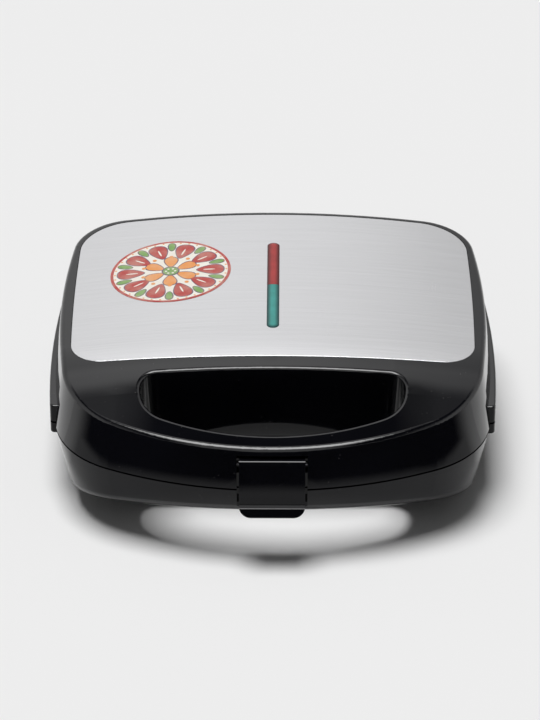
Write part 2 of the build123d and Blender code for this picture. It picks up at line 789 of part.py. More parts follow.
def deck_bead():
    """Bead round the lower frame that darkens the parting gap."""
    top = base_rim + bead_height
    bead = column(case_outline(wall + deck_gap), base_rim, top)
    bead = bead - column(case_outline(wall + deck_gap + bead_width), 0, far)
    reach = boss_half + deck_gap
    return bead - slab((-reach, reach), (-far, opening_rear), (0, far))


def lower_heater():
    """Tubular element: a loop under the plate with both ends towards the rear."""
    corners = [
        (-heater_lead, heater_end), (-heater_lead, heater_rear), (-heater_x, heater_rear),
        (-heater_x, heater_front), (heater_x, heater_front), (heater_x, heater_rear),
        (heater_lead, heater_rear), (heater_lead, heater_end),
    ]
    return tube([(x, y, heater_z) for x, y in corners], heater_bend, heater_radius)


def tube(points, bend, radius):
    """Round bar through points, with an arc at each corner."""
    path = FilletPolyline(*points, radius=bend)
    return sweep(Plane(origin=path @ 0, z_dir=path % 0) * Circle(radius), path)


def strap_places():
    """Centre and turn about Z of each heater clamp."""
    return ((-heater_x, plate_middle, 0), (heater_x, plate_middle, 0), (0, heater_front, 90))


def strap(radius, centre_z, reach):
    """Sheet-metal strap over a bar along Y, with a screw hole at a reach on each side."""
    inner = radius + running_gap
    outer = inner + strap_thickness
    height = plate_floor - centre_z
    end = reach + strap_ear / 2
    shape = Circle(outer) + Pos(0, height / 2) * Rectangle(2 * outer, height)
    shape = shape + Pos(0, height - strap_thickness / 2) * Rectangle(2 * end, strap_thickness)
    shape = shape - Circle(inner) - Pos(0, height / 2) * Rectangle(2 * inner, height)
    shape = shape & Pos(0, height - far / 2) * Rectangle(far, far)
    body = extrude(Plane.XZ * shape, amount=strap_width / 2, both=True)
    for side in (-1, 1):
        body = body - rod(side * reach, 0, small_screw_radius + hole_gap, -far, far)
    return Pos(0, 0, centre_z) * body


def strap_screws():
    """Places of the small screws in the plate's underside."""
    for x, y, turn in strap_places():
        for reach in (-heater_strap_reach, heater_strap_reach):
            yield (x, y + reach) if turn else (x + reach, y)
    for side in (-1, 1):
        yield side * clip_reach, plate_middle


def small_screw(x, y, seat, length):
    """Small screw pointing up, with its head below the seat."""
    shank = rod(x, y, small_screw_radius, seat, seat + length)
    return shank + rod(x, y, small_screw_head[0], seat - small_screw_head[1], seat)


def lower_heater_clamps():
    """Straps that hold the element against the plate."""
    piece = strap(heater_radius, heater_z, heater_strap_reach)
    return [Pos(x, y) * Rot(0, 0, turn) * piece for x, y, turn in strap_places()]


def lower_clamp_screws():
    """Screws of the element's straps and of the strap in the middle of the plate."""
    seat = plate_floor - strap_thickness
    length = strap_thickness + small_screw_bite - hole_gap
    return [small_screw(x, y, seat, length) for x, y in strap_screws()]


def lower_heater_terminals():
    """Ceramic beads and push-on tabs at the ends of the element."""
    width, length, thickness = tab_size
    pieces = []
    for side in (-1, 1):
        x = side * heater_lead
        bead = long_rod(x, heater_z, bead_radius, heater_end, heater_end + bead_length)
        start = heater_end + bead_length
        tab_x = (x - width / 2, x + width / 2)
        tab_z = (heater_z - thickness / 2, heater_z + thickness / 2)
        pieces.append(bead + slab(tab_x, (start, start + length), tab_z))
    return pieces


def lower_reflector():
    """Shallow sheet-metal tray between the element and the shell."""
    tray = column(plate_outline(reflector_inset), reflector_floor, reflector_floor + reflector_rim)
    tray = tray - column(plate_outline(reflector_inset + reflector_thickness), reflector_top, far)
    for x, y in plate_bosses:
        tray = tray - rod(x, y, plate_screw_radius + hole_gap, 0, far)
    return tray


def lower_plate_screws():
    """Long screws from under the base into the plate's bosses."""
    radius, height = plate_screw_head
    end = plate_floor + plate_screw_bite - hole_gap
    shanks = [rod(x, y, plate_screw_radius, screw_seat, end) for x, y in plate_bosses]
    heads = [rod(x, y, radius, screw_seat - height, screw_seat) for x, y in plate_bosses]
    return [shank + head for shank, head in zip(shanks, heads)]


def lower_deck_screws():
    """Screws that hold the inner frame, heads just under its face."""
    head_top = base_rim - hole_gap
    radius, height = small_screw_head
    end = deck_underside - deck_screw_length
    shanks = [rod(x, y, small_screw_radius, end, head_top) for x, y in deck_screws]
    heads = [rod(x, y, radius, head_top - height, head_top) for x, y in deck_screws]
    return [shank + head for shank, head in zip(shanks, heads)]


# --- Small electrical pieces ----------------------------------------------------------
def thermal_fuse():
    """Thermal cut-out against the plate, with a lead at each end."""
    half = fuse_length / 2
    body = long_rod(0, fuse_z, fuse_radius, plate_middle - half, plate_middle + half)
    leads = (plate_middle - 2 * half, plate_middle + 2 * half)
    return body + long_rod(0, fuse_z, wire_radius / 2, *leads)


def thermostat():
    """Disc thermostat with a screwed flange, as it would lie under a plate."""
    floor = plate_floor - thermostat_height
    body = rod(0, plate_middle, thermostat_radius, floor, plate_floor)
    ends = 2 * clip_reach + strap_ear
    flange = Pos(0, plate_middle) * SlotOverall(ends, strap_ear)
    body = body + column(flange, plate_floor - strap_thickness, plate_floor)
    for x in (-clip_reach, clip_reach):
        body = body - rod(x, plate_middle, small_screw_radius + hole_gap, 0, far)
    width, length, thickness = tab_size
    for y in (plate_middle - thermostat_radius, plate_middle + thermostat_radius):
        tab_y = (y - length / 2, y + length / 2)
        body = body + slab((-width / 2, width / 2), tab_y, (floor, floor + thickness))
    return body


def terminal_block():
    """Three-way terminal block on its pad in the base."""
    block = terminal_slab(terminal_floor, terminal_top)
    height = terminal_top - terminal_floor
    bore = wire_radius + hole_gap
    for x in terminal_places():
        block = block - rod(x, wire_y, bore, terminal_top - height / 2, terminal_top)
        block = block - long_rod(x, terminal_floor + height / 4, bore, -far, far)
    return block


def terminal_slab(bottom, top):
    """Block of the terminal block's width and depth between two heights."""
    width, depth, _ = terminal_block_size
    x = (terminal_block_offset - width / 2, terminal_block_offset + width / 2)
    return slab(x, (wire_y - depth / 2, wire_y + depth / 2), (bottom, top))


def terminal_places():
    """Middle of each way of the terminal block, along X."""
    pitch = terminal_block_size[0] / 3
    return [terminal_block_offset + step * pitch for step in (-1, 0, 1)]


def lower_wiring():
    """Wires from the element's tabs over to the terminal block."""
    near, middle, _ = terminal_places()
    high = deck_underside - 2 * wire_radius
    low = high - 3 * wire_radius
    rise = 3 * wire_bend
    short = [(heater_lead, terminal_end, heater_z), (heater_lead, wire_y, heater_z),
             (near, wire_y, low), (near, wire_y, terminal_top)]
    long = [(-heater_lead, terminal_end, heater_z), (-heater_lead, wire_y, heater_z),
            (rise - heater_lead, wire_y, high), (middle, wire_y, high), (middle, wire_y, terminal_top)]
    return [tube(points, wire_bend, wire_radius) for points in (short, long)]


def upper_wiring():
    """Wires from the lid element's tabs to the lamp carrier."""
    tab_z = 2 * parting_height - heater_z
    wires = []
    for side in (-1, 1):
        tab_x = side * heater_lead
        lamp_x = side * lamp_wire_x
        points = [(tab_x, terminal_end, tab_z), (tab_x, wire_y, tab_z),
                  (lamp_x, wire_y, lamp_z), (lamp_x, lens_rear - wall, lamp_z)]
        wires.append(tube(points, wire_bend, wire_radius))
    return wires


def cord_gland():
    """Grommet in the rear wall: a flange outside, a neck and a flange inside."""
    gland_inner = gland_seat - gland_seat_depth
    flange_radius = gland_radius + gland_flange
    ends = (gland_inner - gland_flange_thickness, gland_seat + gland_flange_thickness)
    body = long_rod(0, gland_height, gland_radius, *ends)
    body = body + long_rod(0, gland_height, flange_radius, gland_seat, ends[1])
    body = body + long_rod(0, gland_height, flange_radius, ends[0], gland_inner)
    return body - long_rod(0, gland_height, gland_bore, -far, far)


def foot_places():
    """Centres of the four feet."""
    x = half_case - foot_inset_x
    rows = (case_front + foot_inset_front, case_rear - foot_inset_rear)
    return [(side * x, y) for side in (-1, 1) for y in rows]


def rubber_foot(x, y):
    """Tapered foot with a stem that plugs into the shell."""
    foot = Pos(x, y, foot_height / 2) * Cone(foot_radius - foot_taper, foot_radius, foot_height)
    return foot + rod(x, y, foot_stem_radius, foot_height, foot_height + foot_stem_length)


# --- All pieces -----------------------------------------------------------------------
def twin_pieces():
    """Pieces that the base and the lid both have, as they lie in the base."""
    return {
        "plate": [lower_plate()],
        "heater": [lower_heater()],
        "heater_clamps": lower_heater_clamps(),
        "clamp_screws": lower_clamp_screws(),
        "heater_terminals": lower_heater_terminals(),
        "reflector": [lower_reflector()],
        "plate_screws": lower_plate_screws(),
        "deck_screws": lower_deck_screws(),
    }


def all_pieces():
    """Every node's solids by node name."""
    bays = lamp_bays()
    carrier_screw_length = carrier_wall + small_screw_bite - hole_gap
    pieces = {
        "lower_housing": [lower_housing()],
        "lower_deck": [lower_deck() + deck_bead()],
        "upper_deck": [flip(lower_deck())],
        "upper_housing": [upper_housing()],
        "top_panel": [top_panel()],
        "lens_green": [lens(lens_front, lens_break - running_gap)],
        "lens_red": [lens(lens_break + running_gap, lens_rear)],
        "ready_lamp": [neon_lamp(bays[0])],
        "power_lamp": [neon_lamp(bays[1])],
        "lamp_carrier": [lamp_carrier()],
        "carrier_screws": [small_screw(0, y, carrier_floor, carrier_screw_length)
                           for y in carrier_screw_y],
        "latch": [latch()],
        "latch_pin": [latch_pin()],
        "hinge_pins": [hinge_pin(side) for side in (-1, 1)],
        "thermal_fuse": [thermal_fuse()],
        "fuse_clip": [Pos(0, plate_middle) * strap(fuse_radius, fuse_z, clip_reach)],
        "thermostat": [flip(thermostat())],
        "terminal_block": [terminal_block()],
        "lower_wiring": lower_wiring(),
        "upper_wiring": upper_wiring(),
        "cord_gland": [cord_gland()],
        "rubber_feet": [rubber_foot(x, y) for x, y in foot_places()],
    }
    for name, solids in twin_pieces().items():
        pieces["lower_" + name] = solids
        pieces["upper_" + name] = [flip(solid) for solid in solids]
    return pieces


def main():
    """Write one STEP file per node."""
    os.makedirs("parts", exist_ok=True)
    for name, solids in all_pieces().items():
        bodies = [body for solid in solids for body in solid.solids()]
        piece = bodies[0] if len(bodies) == 1 else Compound(bodies)
        piece.label = name
        export_step(piece, f"parts/{name}.step")


main()
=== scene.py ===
"""Finishes, printed badge, indicator lenses, screw heads and studio for a two-slice sandwich maker."""

import logging
import math
from dataclasses import dataclass
from enum import Enum
from typing import Sequence

import bmesh
import bpy
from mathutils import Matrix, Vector


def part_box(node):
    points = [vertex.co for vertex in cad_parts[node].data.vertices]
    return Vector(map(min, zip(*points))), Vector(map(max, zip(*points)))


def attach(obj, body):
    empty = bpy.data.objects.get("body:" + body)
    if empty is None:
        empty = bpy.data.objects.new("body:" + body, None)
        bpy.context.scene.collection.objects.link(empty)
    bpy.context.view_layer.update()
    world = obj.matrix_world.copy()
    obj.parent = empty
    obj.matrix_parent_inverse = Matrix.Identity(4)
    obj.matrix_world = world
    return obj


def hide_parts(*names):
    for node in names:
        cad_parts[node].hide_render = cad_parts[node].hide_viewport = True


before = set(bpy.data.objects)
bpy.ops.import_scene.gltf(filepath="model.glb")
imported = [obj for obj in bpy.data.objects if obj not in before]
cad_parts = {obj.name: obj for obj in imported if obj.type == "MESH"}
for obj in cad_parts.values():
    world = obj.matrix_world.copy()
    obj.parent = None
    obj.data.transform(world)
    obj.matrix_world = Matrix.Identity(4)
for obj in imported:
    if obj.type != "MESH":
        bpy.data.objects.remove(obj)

LOG = logging.getLogger("sandwich_maker")
MM = 0.001

Colour = tuple[float, float, float]

DUST: Colour = (0.32, 0.31, 0.3)
PALE_FLECK: Colour = (0.16, 0.16, 0.165)
YELLOWED: Colour = (0.75, 0.66, 0.52)
BARE_PAPER: Colour = (0.8, 0.8, 0.78)


# --- Node trees -----------------------------------------------------------------------
class Sheet:
    """A node tree with short calls for adding and joining nodes."""

    def __init__(self, tree: bpy.types.NodeTree) -> None:
        """Start on a shader or geometry tree."""
        self.tree = tree

    def node(self, kind: str, **settings: object) -> bpy.types.Node:
        """Add a node.

        Args:
            kind: Blender's name of the node type.
            settings: Properties to set on the node.

        Returns:
            The new node.
        """
        made = self.tree.nodes.new(kind)
        for name, value in settings.items():
            setattr(made, name, value)
        return made

    def feed(self, socket: bpy.types.NodeSocket, value: object) -> None:
        """Link an output to an input, or set the input's own value.

        Args:
            socket: The input. One that takes several links keeps those it has.
            value: An output socket, a number, a vector, a colour or a name.
        """
        if isinstance(value, bpy.types.NodeSocket):
            self.tree.links.new(value, socket)
        elif hasattr(value, "__len__") and socket.type == "RGBA":
            socket.default_value = (*value[:3], 1.0)
        else:
            socket.default_value = value

    def fill(self, made: bpy.types.Node, *values: object, **named: object) -> bpy.types.Node:
        """Feed a node's inputs.

        Args:
            made: The node.
            values: Its first inputs, in order.
            named: Other inputs by name, with underscores for spaces.

        Returns:
            The node.
        """
        for socket, value in zip(made.inputs, values):
            self.feed(socket, value)
        for name, value in named.items():
            self.feed(made.inputs[name.replace("_", " ")], value)
        return made

    def grow(self, kind: str, **named: object) -> bpy.types.NodeSocket:
        """Return the first output of a new node with its inputs fed by name."""
        return self.fill(self.node(kind), **named).outputs[0]

    def math(self, operation: str, *values: object) -> bpy.types.NodeSocket:
        """Return the result of a Math node."""
        return self.fill(self.node("ShaderNodeMath", operation=operation), *values).outputs[0]

    def times(self, first: object, second: object) -> bpy.types.NodeSocket:
        """Return the product of two numbers."""
        return self.math("MULTIPLY", first, second)

    def plus(self, first: object, second: object) -> bpy.types.NodeSocket:
        """Return the sum of two numbers."""
        return self.math("ADD", first, second)

    def minus(self, first: object, second: object) -> bpy.types.NodeSocket:
        """Return the first number less the second."""
        return self.math("SUBTRACT", first, second)

    def vector(self, operation: str, *values: object) -> bpy.types.Node:
        """Add a Vector Math node."""
        return self.fill(self.node("ShaderNodeVectorMath", operation=operation), *values)

    def split(self, value: object) -> Sequence[bpy.types.NodeSocket]:
        """Return a vector's X, Y and Z."""
        return self.fill(self.node("ShaderNodeSeparateXYZ"), value).outputs

    def joined(self, *values: object) -> bpy.types.NodeSocket:
        """Return a vector made of X, Y and Z, with 0 for those left out."""
        return self.fill(self.node("ShaderNodeCombineXYZ"), *values).outputs[0]

    def span(self, value: object, low: float, high: float, new_low: float, new_high: float,
             smooth: bool = False) -> bpy.types.NodeSocket:
        """Map a value from one range to another, clamped.

        Args:
            value: What is mapped.
            low: Start of the range it comes in.
            high: End of that range.
            new_low: What the start becomes.
            new_high: What the end becomes.
            smooth: Ease in and out of the new range.

        Returns:
            The mapped value.
        """
        kind = "SMOOTHSTEP" if smooth else "LINEAR"
        made = self.node("ShaderNodeMapRange", clamp=True, interpolation_type=kind)
        return self.fill(made, value, low, high, new_low, new_high).outputs[0]

    def blend(self, factor: object, first: object, second: object) -> bpy.types.NodeSocket:
        """Mix two colours.

        Args:
            factor: Share of the second one.
            first: Colour at 0.
            second: Colour at 1.

        Returns:
            The mixed colour.
        """
        made = self.node("ShaderNodeMix", data_type="RGBA")
        sockets = (made.inputs["Factor"], made.inputs[6], made.inputs[7])
        for socket, value in zip(sockets, (factor, first, second)):
            self.feed(socket, value)
        return made.outputs[2]

    def noise(self, place: object, scale: object, detail: float) -> bpy.types.NodeSocket:
        """Return a Noise texture of a scale per metre, from 0 to 1."""
        return self.grow("ShaderNodeTexNoise", Vector=place, Scale=scale, Detail=detail)

    def mapped(self, place: object, scale: Sequence[float], turn: float = 0.0) -> bpy.types.NodeSocket:
        """Return a place turned about Z and stretched."""
        return self.grow("ShaderNodeMapping", Vector=place, Rotation=(0.0, 0.0, turn), Scale=scale)

    def specks(self, place: object, scale: float, core: float, rim: float) -> bpy.types.NodeSocket:
        """Return round specks: 1 up to the core's distance from their middle, 0 past the rim's."""
        cells = self.fill(self.node("ShaderNodeTexVoronoi"), Vector=place, Scale=scale)
        return self.span(cells.outputs["Distance"], core, rim, 1.0, 0.0)

    def attribute(self, name: str) -> bpy.types.NodeSocket:
        """Return a number that the mesh holds under a name."""
        return self.node("ShaderNodeAttribute", attribute_name=name).outputs["Fac"]

    def raised(self, value: object, *steps: tuple[object, float]) -> bpy.types.NodeSocket:
        """Raise a value where masks are set.

        Args:
            value: The value.
            steps: Each mask and what it adds where it is 1.

        Returns:
            The raised value.
        """
        for mask, more in steps:
            value = self.plus(value, self.times(mask, more))
        return value


class Group(Sheet):
    """A node group with named inputs and outputs."""

    def __init__(self, family: str, name: str, inputs: Sequence[tuple[str, Sequence[str]]],
                 outputs: Sequence[tuple[str, Sequence[str]]]) -> None:
        """Start the group.

        Args:
            family: Shader or Geometry.
            name: Name of the group.
            inputs: Kinds of its inputs, each with their names.
            outputs: Kinds of its outputs, each with their names.
        """
        super().__init__(bpy.data.node_groups.new(name, family + "NodeTree"))
        for way, sockets in (("INPUT", inputs), ("OUTPUT", outputs)):
            for kind, labels in sockets:
                for label in labels:
                    self.tree.interface.new_socket(label, in_out=way, socket_type="NodeSocket" + kind)
        self.given = {socket.name: socket for socket in self.node("NodeGroupInput").outputs}
        self.out = self.node("NodeGroupOutput")


class Effect(Group):
    """A shader node group that reads a place and puts out numbers."""

    def __init__(self, name: str, outputs: Sequence[str], **inputs: float) -> None:
        """Start the group.

        Args:
            name: Name of the group.
            outputs: Names of its outputs.
            inputs: Default of each number that it takes besides its Place.
        """
        super().__init__("Shader", name, [("Vector", ["Place"]), ("Float", list(inputs))],
                         [("Float", outputs)])
        for label, default in inputs.items():
            self.tree.interface.items_tree[label].default_value = default
        self.place = self.given["Place"]

    def shown(self, mask: object, where: object) -> "Effect":
        """Put out a mask where another one shows it, and return the effect."""
        self.fill(self.out, Mask=self.times(self.times(mask, where), self.given["Amount"]))
        return self


class Effects:
    """Shader effects that several finishes share, each built once as a node group."""

    _built: dict[str, bpy.types.NodeTree] = {}

    @classmethod
    def get(cls, name: str) -> bpy.types.NodeTree:
        """Return an effect's group, building it the first time.

        Args:
            name: grain, hairlines, dust or edges.

        Returns:
            The node group.
        """
        if name not in cls._built:
            cls._built[name] = getattr(cls, "_" + name)().tree
        return cls._built[name]

    @staticmethod
    def _grain() -> Effect:
        """Fine moulded grain and slow changes of tone over a surface.

        Returns:
            The effect, which puts out height and tone.
        """
        made = Effect("moulded_grain", ["Height", "Tone"], Fineness=900.0, Drift=18.0)
        slow = made.noise(made.place, made.given["Drift"], 2.0)
        made.fill(made.out, Height=made.noise(made.place, made.given["Fineness"], 4.0),
                  Tone=made.span(slow, 0.3, 0.7, 0.0, 1.0, smooth=True))
        return made

    @staticmethod
    def _hairlines() -> Effect:
        """Hair-fine handling marks in two directions, thicker in some places.

        Returns:
            The effect, which puts out a mask.
        """
        made = Effect("hairline_marks", ["Mask"], Amount=0.3)
        marks = None
        for turn, stretch in ((0.5, (1400.0, 35.0, 300.0)), (-0.9, (900.0, 22.0, 250.0))):
            strands = made.noise(made.mapped(made.place, stretch, turn), 1.0, 1.0)
            line = made.span(strands, 0.66, 0.74, 0.0, 1.0)
            marks = line if marks is None else made.math("MAXIMUM", marks, line)
        patches = made.noise(made.place, 26.0, 2.0)
        return made.shown(marks, made.span(patches, 0.45, 0.65, 0.0, 1.0, smooth=True))

    @staticmethod
    def _dust() -> Effect:
        """Sparse specks of dust.

        Returns:
            The effect, which puts out a mask.
        """
        made = Effect("dust_specks", ["Mask"], Amount=0.3)
        chosen = made.span(made.noise(made.place, 160.0, 1.0), 0.6, 0.66, 0.0, 1.0)
        return made.shown(made.specks(made.place, 420.0, 0.05, 0.13), chosen)

    @staticmethod
    def _edges() -> Effect:
        """Edges rubbed by handling, found with a bevel and broken up by noise.

        Returns:
            The effect, which puts out a mask.
        """
        made = Effect("rubbed_edges", ["Mask"], Width=0.0006, Amount=0.5)
        bevel = made.fill(made.node("ShaderNodeBevel", samples=4), Radius=made.given["Width"])
        surface = made.node("ShaderNodeNewGeometry")
        agree = made.vector("DOT_PRODUCT", bevel.outputs[0], surface.outputs["Normal"])
        rim = made.span(agree.outputs["Value"], 0.97, 0.8, 0.0, 1.0)
        return made.shown(rim, made.span(made.noise(made.place, 300.0, 3.0), 0.4, 0.62, 0.0, 1.0))


class Paint(Sheet):
    """The node tree of a material with a Principled shader."""

    def __init__(self, made: bpy.types.Material) -> None:
        """Turn on a material's nodes.

        Args:
            made: The material.
        """
        made.use_nodes = True
        super().__init__(made.node_tree)
        self.shader = made.node_tree.nodes["Principled BSDF"]
        self.place = self.node("ShaderNodeTexCoord").outputs["Object"]

    def effect(self, name: str, **values: float) -> Sequence[bpy.types.NodeSocket]:
        """Place a shared effect.

        Args:
            name: grain, hairlines, dust or edges.
            values: Its inputs besides the place.

        Returns:
            Its outputs: height and tone of the grain, or a mask.
        """
        made = self.node("ShaderNodeGroup")
        made.node_tree = Effects.get(name)
        return self.fill(made, Place=self.place, **values).outputs

    def mask(self, name: str, **values: float) -> bpy.types.NodeSocket:
        """Return the mask of hairlines, dust or edges."""
        return self.effect(name, **values)[0]

    def finish(self, height: object, depth: float, **inputs: object) -> None:
        """Feed the shader's inputs and bump its surface.

        Args:
            height: Height of the surface, from 0 to 1.
            depth: What a height of 1 is, in metres.
            inputs: The shader's inputs by name, with underscores for spaces.
        """
        normal = self.grow("ShaderNodeBump", Strength=1.0, Distance=depth, Height=height)
        self.fill(self.shader, Normal=normal, **inputs)


# --- Finishes -------------------------------------------------------------------------
@dataclass(frozen=True)
class Finish:
    """A finish that turns into one Blender material."""

    name: str
    colour: Colour

    def material(self) -> bpy.types.Material:
        """Return the finish's material, building it the first time.

        Returns:
            The material.
        """
        label = self.name + "_finish"
        found = bpy.data.materials.get(label)
        if found is not None:
            return found
        made = bpy.data.materials.new(label)
        made.diffuse_color = (*self.colour, 1.0)
        self.dress(Paint(made))
        return made

    def dress(self, paint: Paint) -> None:
        """Add the finish's nodes to a material."""
        raise NotImplementedError

    def tones(self, paint: Paint, factor: object, low: float, high: float) -> bpy.types.NodeSocket:
        """Mix a darker and a lighter tone of the colour.

        Args:
            paint: The material's tree.
            factor: Share of the lighter tone.
            low: Brightness of the darker tone.
            high: Brightness of the lighter tone.

        Returns:
            The mixed colour.
        """
        light = tuple(min(1.0, channel) for channel in self.scaled(high))
        return paint.blend(factor, self.scaled(low), light)

    def scaled(self, brightness: float, more: float = 0.0) -> Colour:
        """Return the colour at another brightness, with the same added to each channel."""
        return tuple(channel * brightness + more for channel in self.colour)


@dataclass(frozen=True)
class Plastic(Finish):
    """Moulded plastic, from piano gloss to fine matt grain."""

    roughness: float = 0.12
    grain: float = 900.0
    depth: float = 0.000004
    marks: float = 0.25
    dust: float = 0.25
    wear: float = 0.3

    def dress(self, paint: Paint) -> None:
        """Add grain, handling marks, dust and rubbed edges.

        Args:
            paint: The material's tree.
        """
        height, tone = paint.effect("grain", Fineness=self.grain)
        marks = paint.mask("hairlines", Amount=self.marks)
        dust = paint.mask("dust", Amount=self.dust)
        edges = paint.mask("edges", Amount=self.wear)
        colour = paint.blend(edges, self.tones(paint, tone, 0.85, 1.25), self.scaled(1.6, 0.03))
        rough = paint.span(tone, 0.0, 1.0, self.roughness * 0.9, self.roughness * 1.2)
        paint.finish(height, self.depth, Base_Color=paint.blend(dust, colour, DUST),
                     Roughness=paint.raised(rough, (marks, 0.18), (dust, 0.5), (edges, 0.2)))


@dataclass(frozen=True)
class BrushedSteel(Finish):
    """Steel sheet brushed along X."""

    roughness: float = 0.24
    lines: float = 0.000003
    anisotropy: float = 0.75

    def dress(self, paint: Paint) -> None:
        """Add long brush lines, broken by shorter ones, and faint wiping marks.

        Args:
            paint: The material's tree.
        """
        lines = None
        for scale, share in (((9.0, 4200.0, 60.0), 0.6), ((28.0, 1500.0, 40.0), 0.4)):
            line = paint.times(paint.noise(paint.mapped(paint.place, scale), 1.0, 3.0), share)
            lines = line if lines is None else paint.plus(lines, line)
        _, tone = paint.effect("grain", Fineness=500.0, Drift=9.0)
        marks = paint.mask("hairlines", Amount=0.2)
        edges = paint.mask("edges", Width=0.0005, Amount=0.6)
        streak = paint.span(lines, 0.35, 0.65, 0.0, 1.0)
        shade = paint.plus(paint.times(streak, 0.75), paint.times(tone, 0.25))
        colour = paint.blend(edges, self.tones(paint, shade, 0.93, 1.05), (0.9, 0.9, 0.9))
        rough = paint.span(shade, 0.0, 1.0, self.roughness * 0.9, self.roughness * 1.12)
        paint.finish(lines, self.lines, Base_Color=colour, Roughness=paint.raised(rough, (marks, 0.15)),
                     Metallic=1.0, Anisotropic=self.anisotropy, Tangent=paint.joined(1.0))


@dataclass(frozen=True)
class Metal(Finish):
    """Plain metal: plated, ground, cast or sheathed."""

    roughness: float = 0.3
    grain: float = 1500.0
    depth: float = 0.000004
    tarnish: float = 0.3

    def dress(self, paint: Paint) -> None:
        """Add grain, tarnish in patches and brighter edges.

        Args:
            paint: The material's tree.
        """
        height, tone = paint.effect("grain", Fineness=self.grain, Drift=60.0)
        marks = paint.mask("hairlines", Amount=0.5)
        edges = paint.mask("edges", Width=0.0003, Amount=0.7)
        dull = paint.times(tone, self.tarnish)
        bright = [min(1.0, channel) for channel in self.scaled(1.25, 0.05)]
        colour = paint.blend(edges, paint.blend(dull, self.colour, self.scaled(0.45)), bright)
        rough = paint.span(dull, 0.0, 1.0, self.roughness, self.roughness + 0.35)
        paint.finish(height, self.depth, Base_Color=colour, Metallic=1.0,
                     Roughness=paint.raised(rough, (marks, 0.15)))


@dataclass(frozen=True)
class NonStick(Finish):
    """Cast plate with a speckled non-stick coating."""

    roughness: float = 0.38
    depth: float = 0.000025

    def dress(self, paint: Paint) -> None:
        """Add the coating's fine pimples, pale flecks and rubbed rims.

        Args:
            paint: The material's tree.
        """
        height, tone = paint.effect("grain", Fineness=1300.0, Drift=30.0)
        marks = paint.mask("hairlines", Amount=0.25)
        edges = paint.mask("edges", Width=0.0008, Amount=0.25)
        fleck = paint.specks(paint.place, 900.0, 0.12, 0.2)
        chosen = paint.span(paint.noise(paint.place, 420.0, 1.0), 0.58, 0.62, 0.0, 0.5)
        body = paint.blend(paint.times(fleck, chosen), self.tones(paint, tone, 0.8, 1.3), PALE_FLECK)
        rough = paint.span(height, 0.3, 0.7, self.roughness * 0.85, self.roughness * 1.2)
        paint.finish(height, self.depth, Base_Color=paint.blend(edges, body, (0.12, 0.12, 0.12)),
                     Roughness=paint.raised(rough, (marks, 0.2)))


@dataclass(frozen=True)
class Lens(Finish):
    """Tinted lens over a lamp, with painted shade that darkens it towards its sides."""

    # side: painted shade, the colour that the lens takes at its sides
    side: Colour = (0.02, 0.01, 0.01)
    depth: float = 0.000012

    def dress(self, paint: Paint) -> None:
        """Add the tint across the lens with its painted shade towards the sides, fine ribs of its diffuser
        and small flow marks.

        Args:
            paint: The material's tree.
        """
        wave = paint.node("ShaderNodeTexWave", wave_type="BANDS", bands_direction="Y")
        ribs = paint.fill(wave, Vector=paint.place, Scale=320.0, Distortion=1.5).outputs["Fac"]
        height, tone = paint.effect("grain", Fineness=700.0, Drift=120.0)
        core = paint.plus(paint.times(ribs, 0.35), paint.times(tone, 0.65))
        # Painted shade: the colour darkens towards the lens's sides, by the share of its half width
        edge = paint.span(paint.attribute("reach"), 0.15, 0.95, 0.0, 1.0, smooth=True)
        colour = paint.blend(edge, self.tones(paint, core, 0.85, 1.2), self.side)
        paint.finish(core, self.depth, Base_Color=colour, Specular_IOR_Level=0.3,
                     Roughness=paint.span(height, 0.2, 0.8, 0.1, 0.22))


@dataclass(frozen=True)
class Glass(Finish):
    """Clear glass envelope with an uneven wall."""

    depth: float = 0.00002
    clearness: float = 0.9

    def dress(self, paint: Paint) -> None:
        """Add drawn unevenness to the glass.

        Args:
            paint: The material's tree.
        """
        height, tone = paint.effect("grain", Fineness=160.0, Drift=90.0)
        paint.finish(height, self.depth, Base_Color=self.tones(paint, tone, 0.92, 1.0),
                     Roughness=paint.span(height, 0.3, 0.7, 0.02, 0.08),
                     Transmission_Weight=self.clearness)


@dataclass(frozen=True)
class Ink(Finish):
    """Printed ink, with a tone taken from the piece's own shade attribute."""

    palette: tuple[Colour, ...] = ()
    depth: float = 0.000003

    def dress(self, paint: Paint) -> None:
        """Add the palette, its yellowing and a printed dot grain.

        Args:
            paint: The material's tree.
        """
        ramp = paint.node("ShaderNodeValToRGB")
        ramp.color_ramp.interpolation = "CONSTANT"
        stops = ramp.color_ramp.elements
        stops[0].color = (*self.palette[0], 1.0)
        stops[1].position = 1.0
        stops[1].color = (*self.palette[-1], 1.0)
        for index, colour in enumerate(self.palette[1:], 1):
            stops.new(index / len(self.palette)).color = (*colour, 1.0)
        ink = paint.fill(ramp, Fac=paint.attribute("shade")).outputs["Color"]
        height, tone = paint.effect("grain", Fineness=2600.0, Drift=140.0)
        toned = paint.blend(paint.span(tone, 0.0, 1.0, 0.0, 0.22), ink, YELLOWED)
        dots = paint.span(height, 0.55, 0.75, 0.0, 0.2)
        paint.finish(height, self.depth, Base_Color=paint.blend(dots, toned, BARE_PAPER),
                     Roughness=paint.span(height, 0.2, 0.8, 0.3, 0.42))


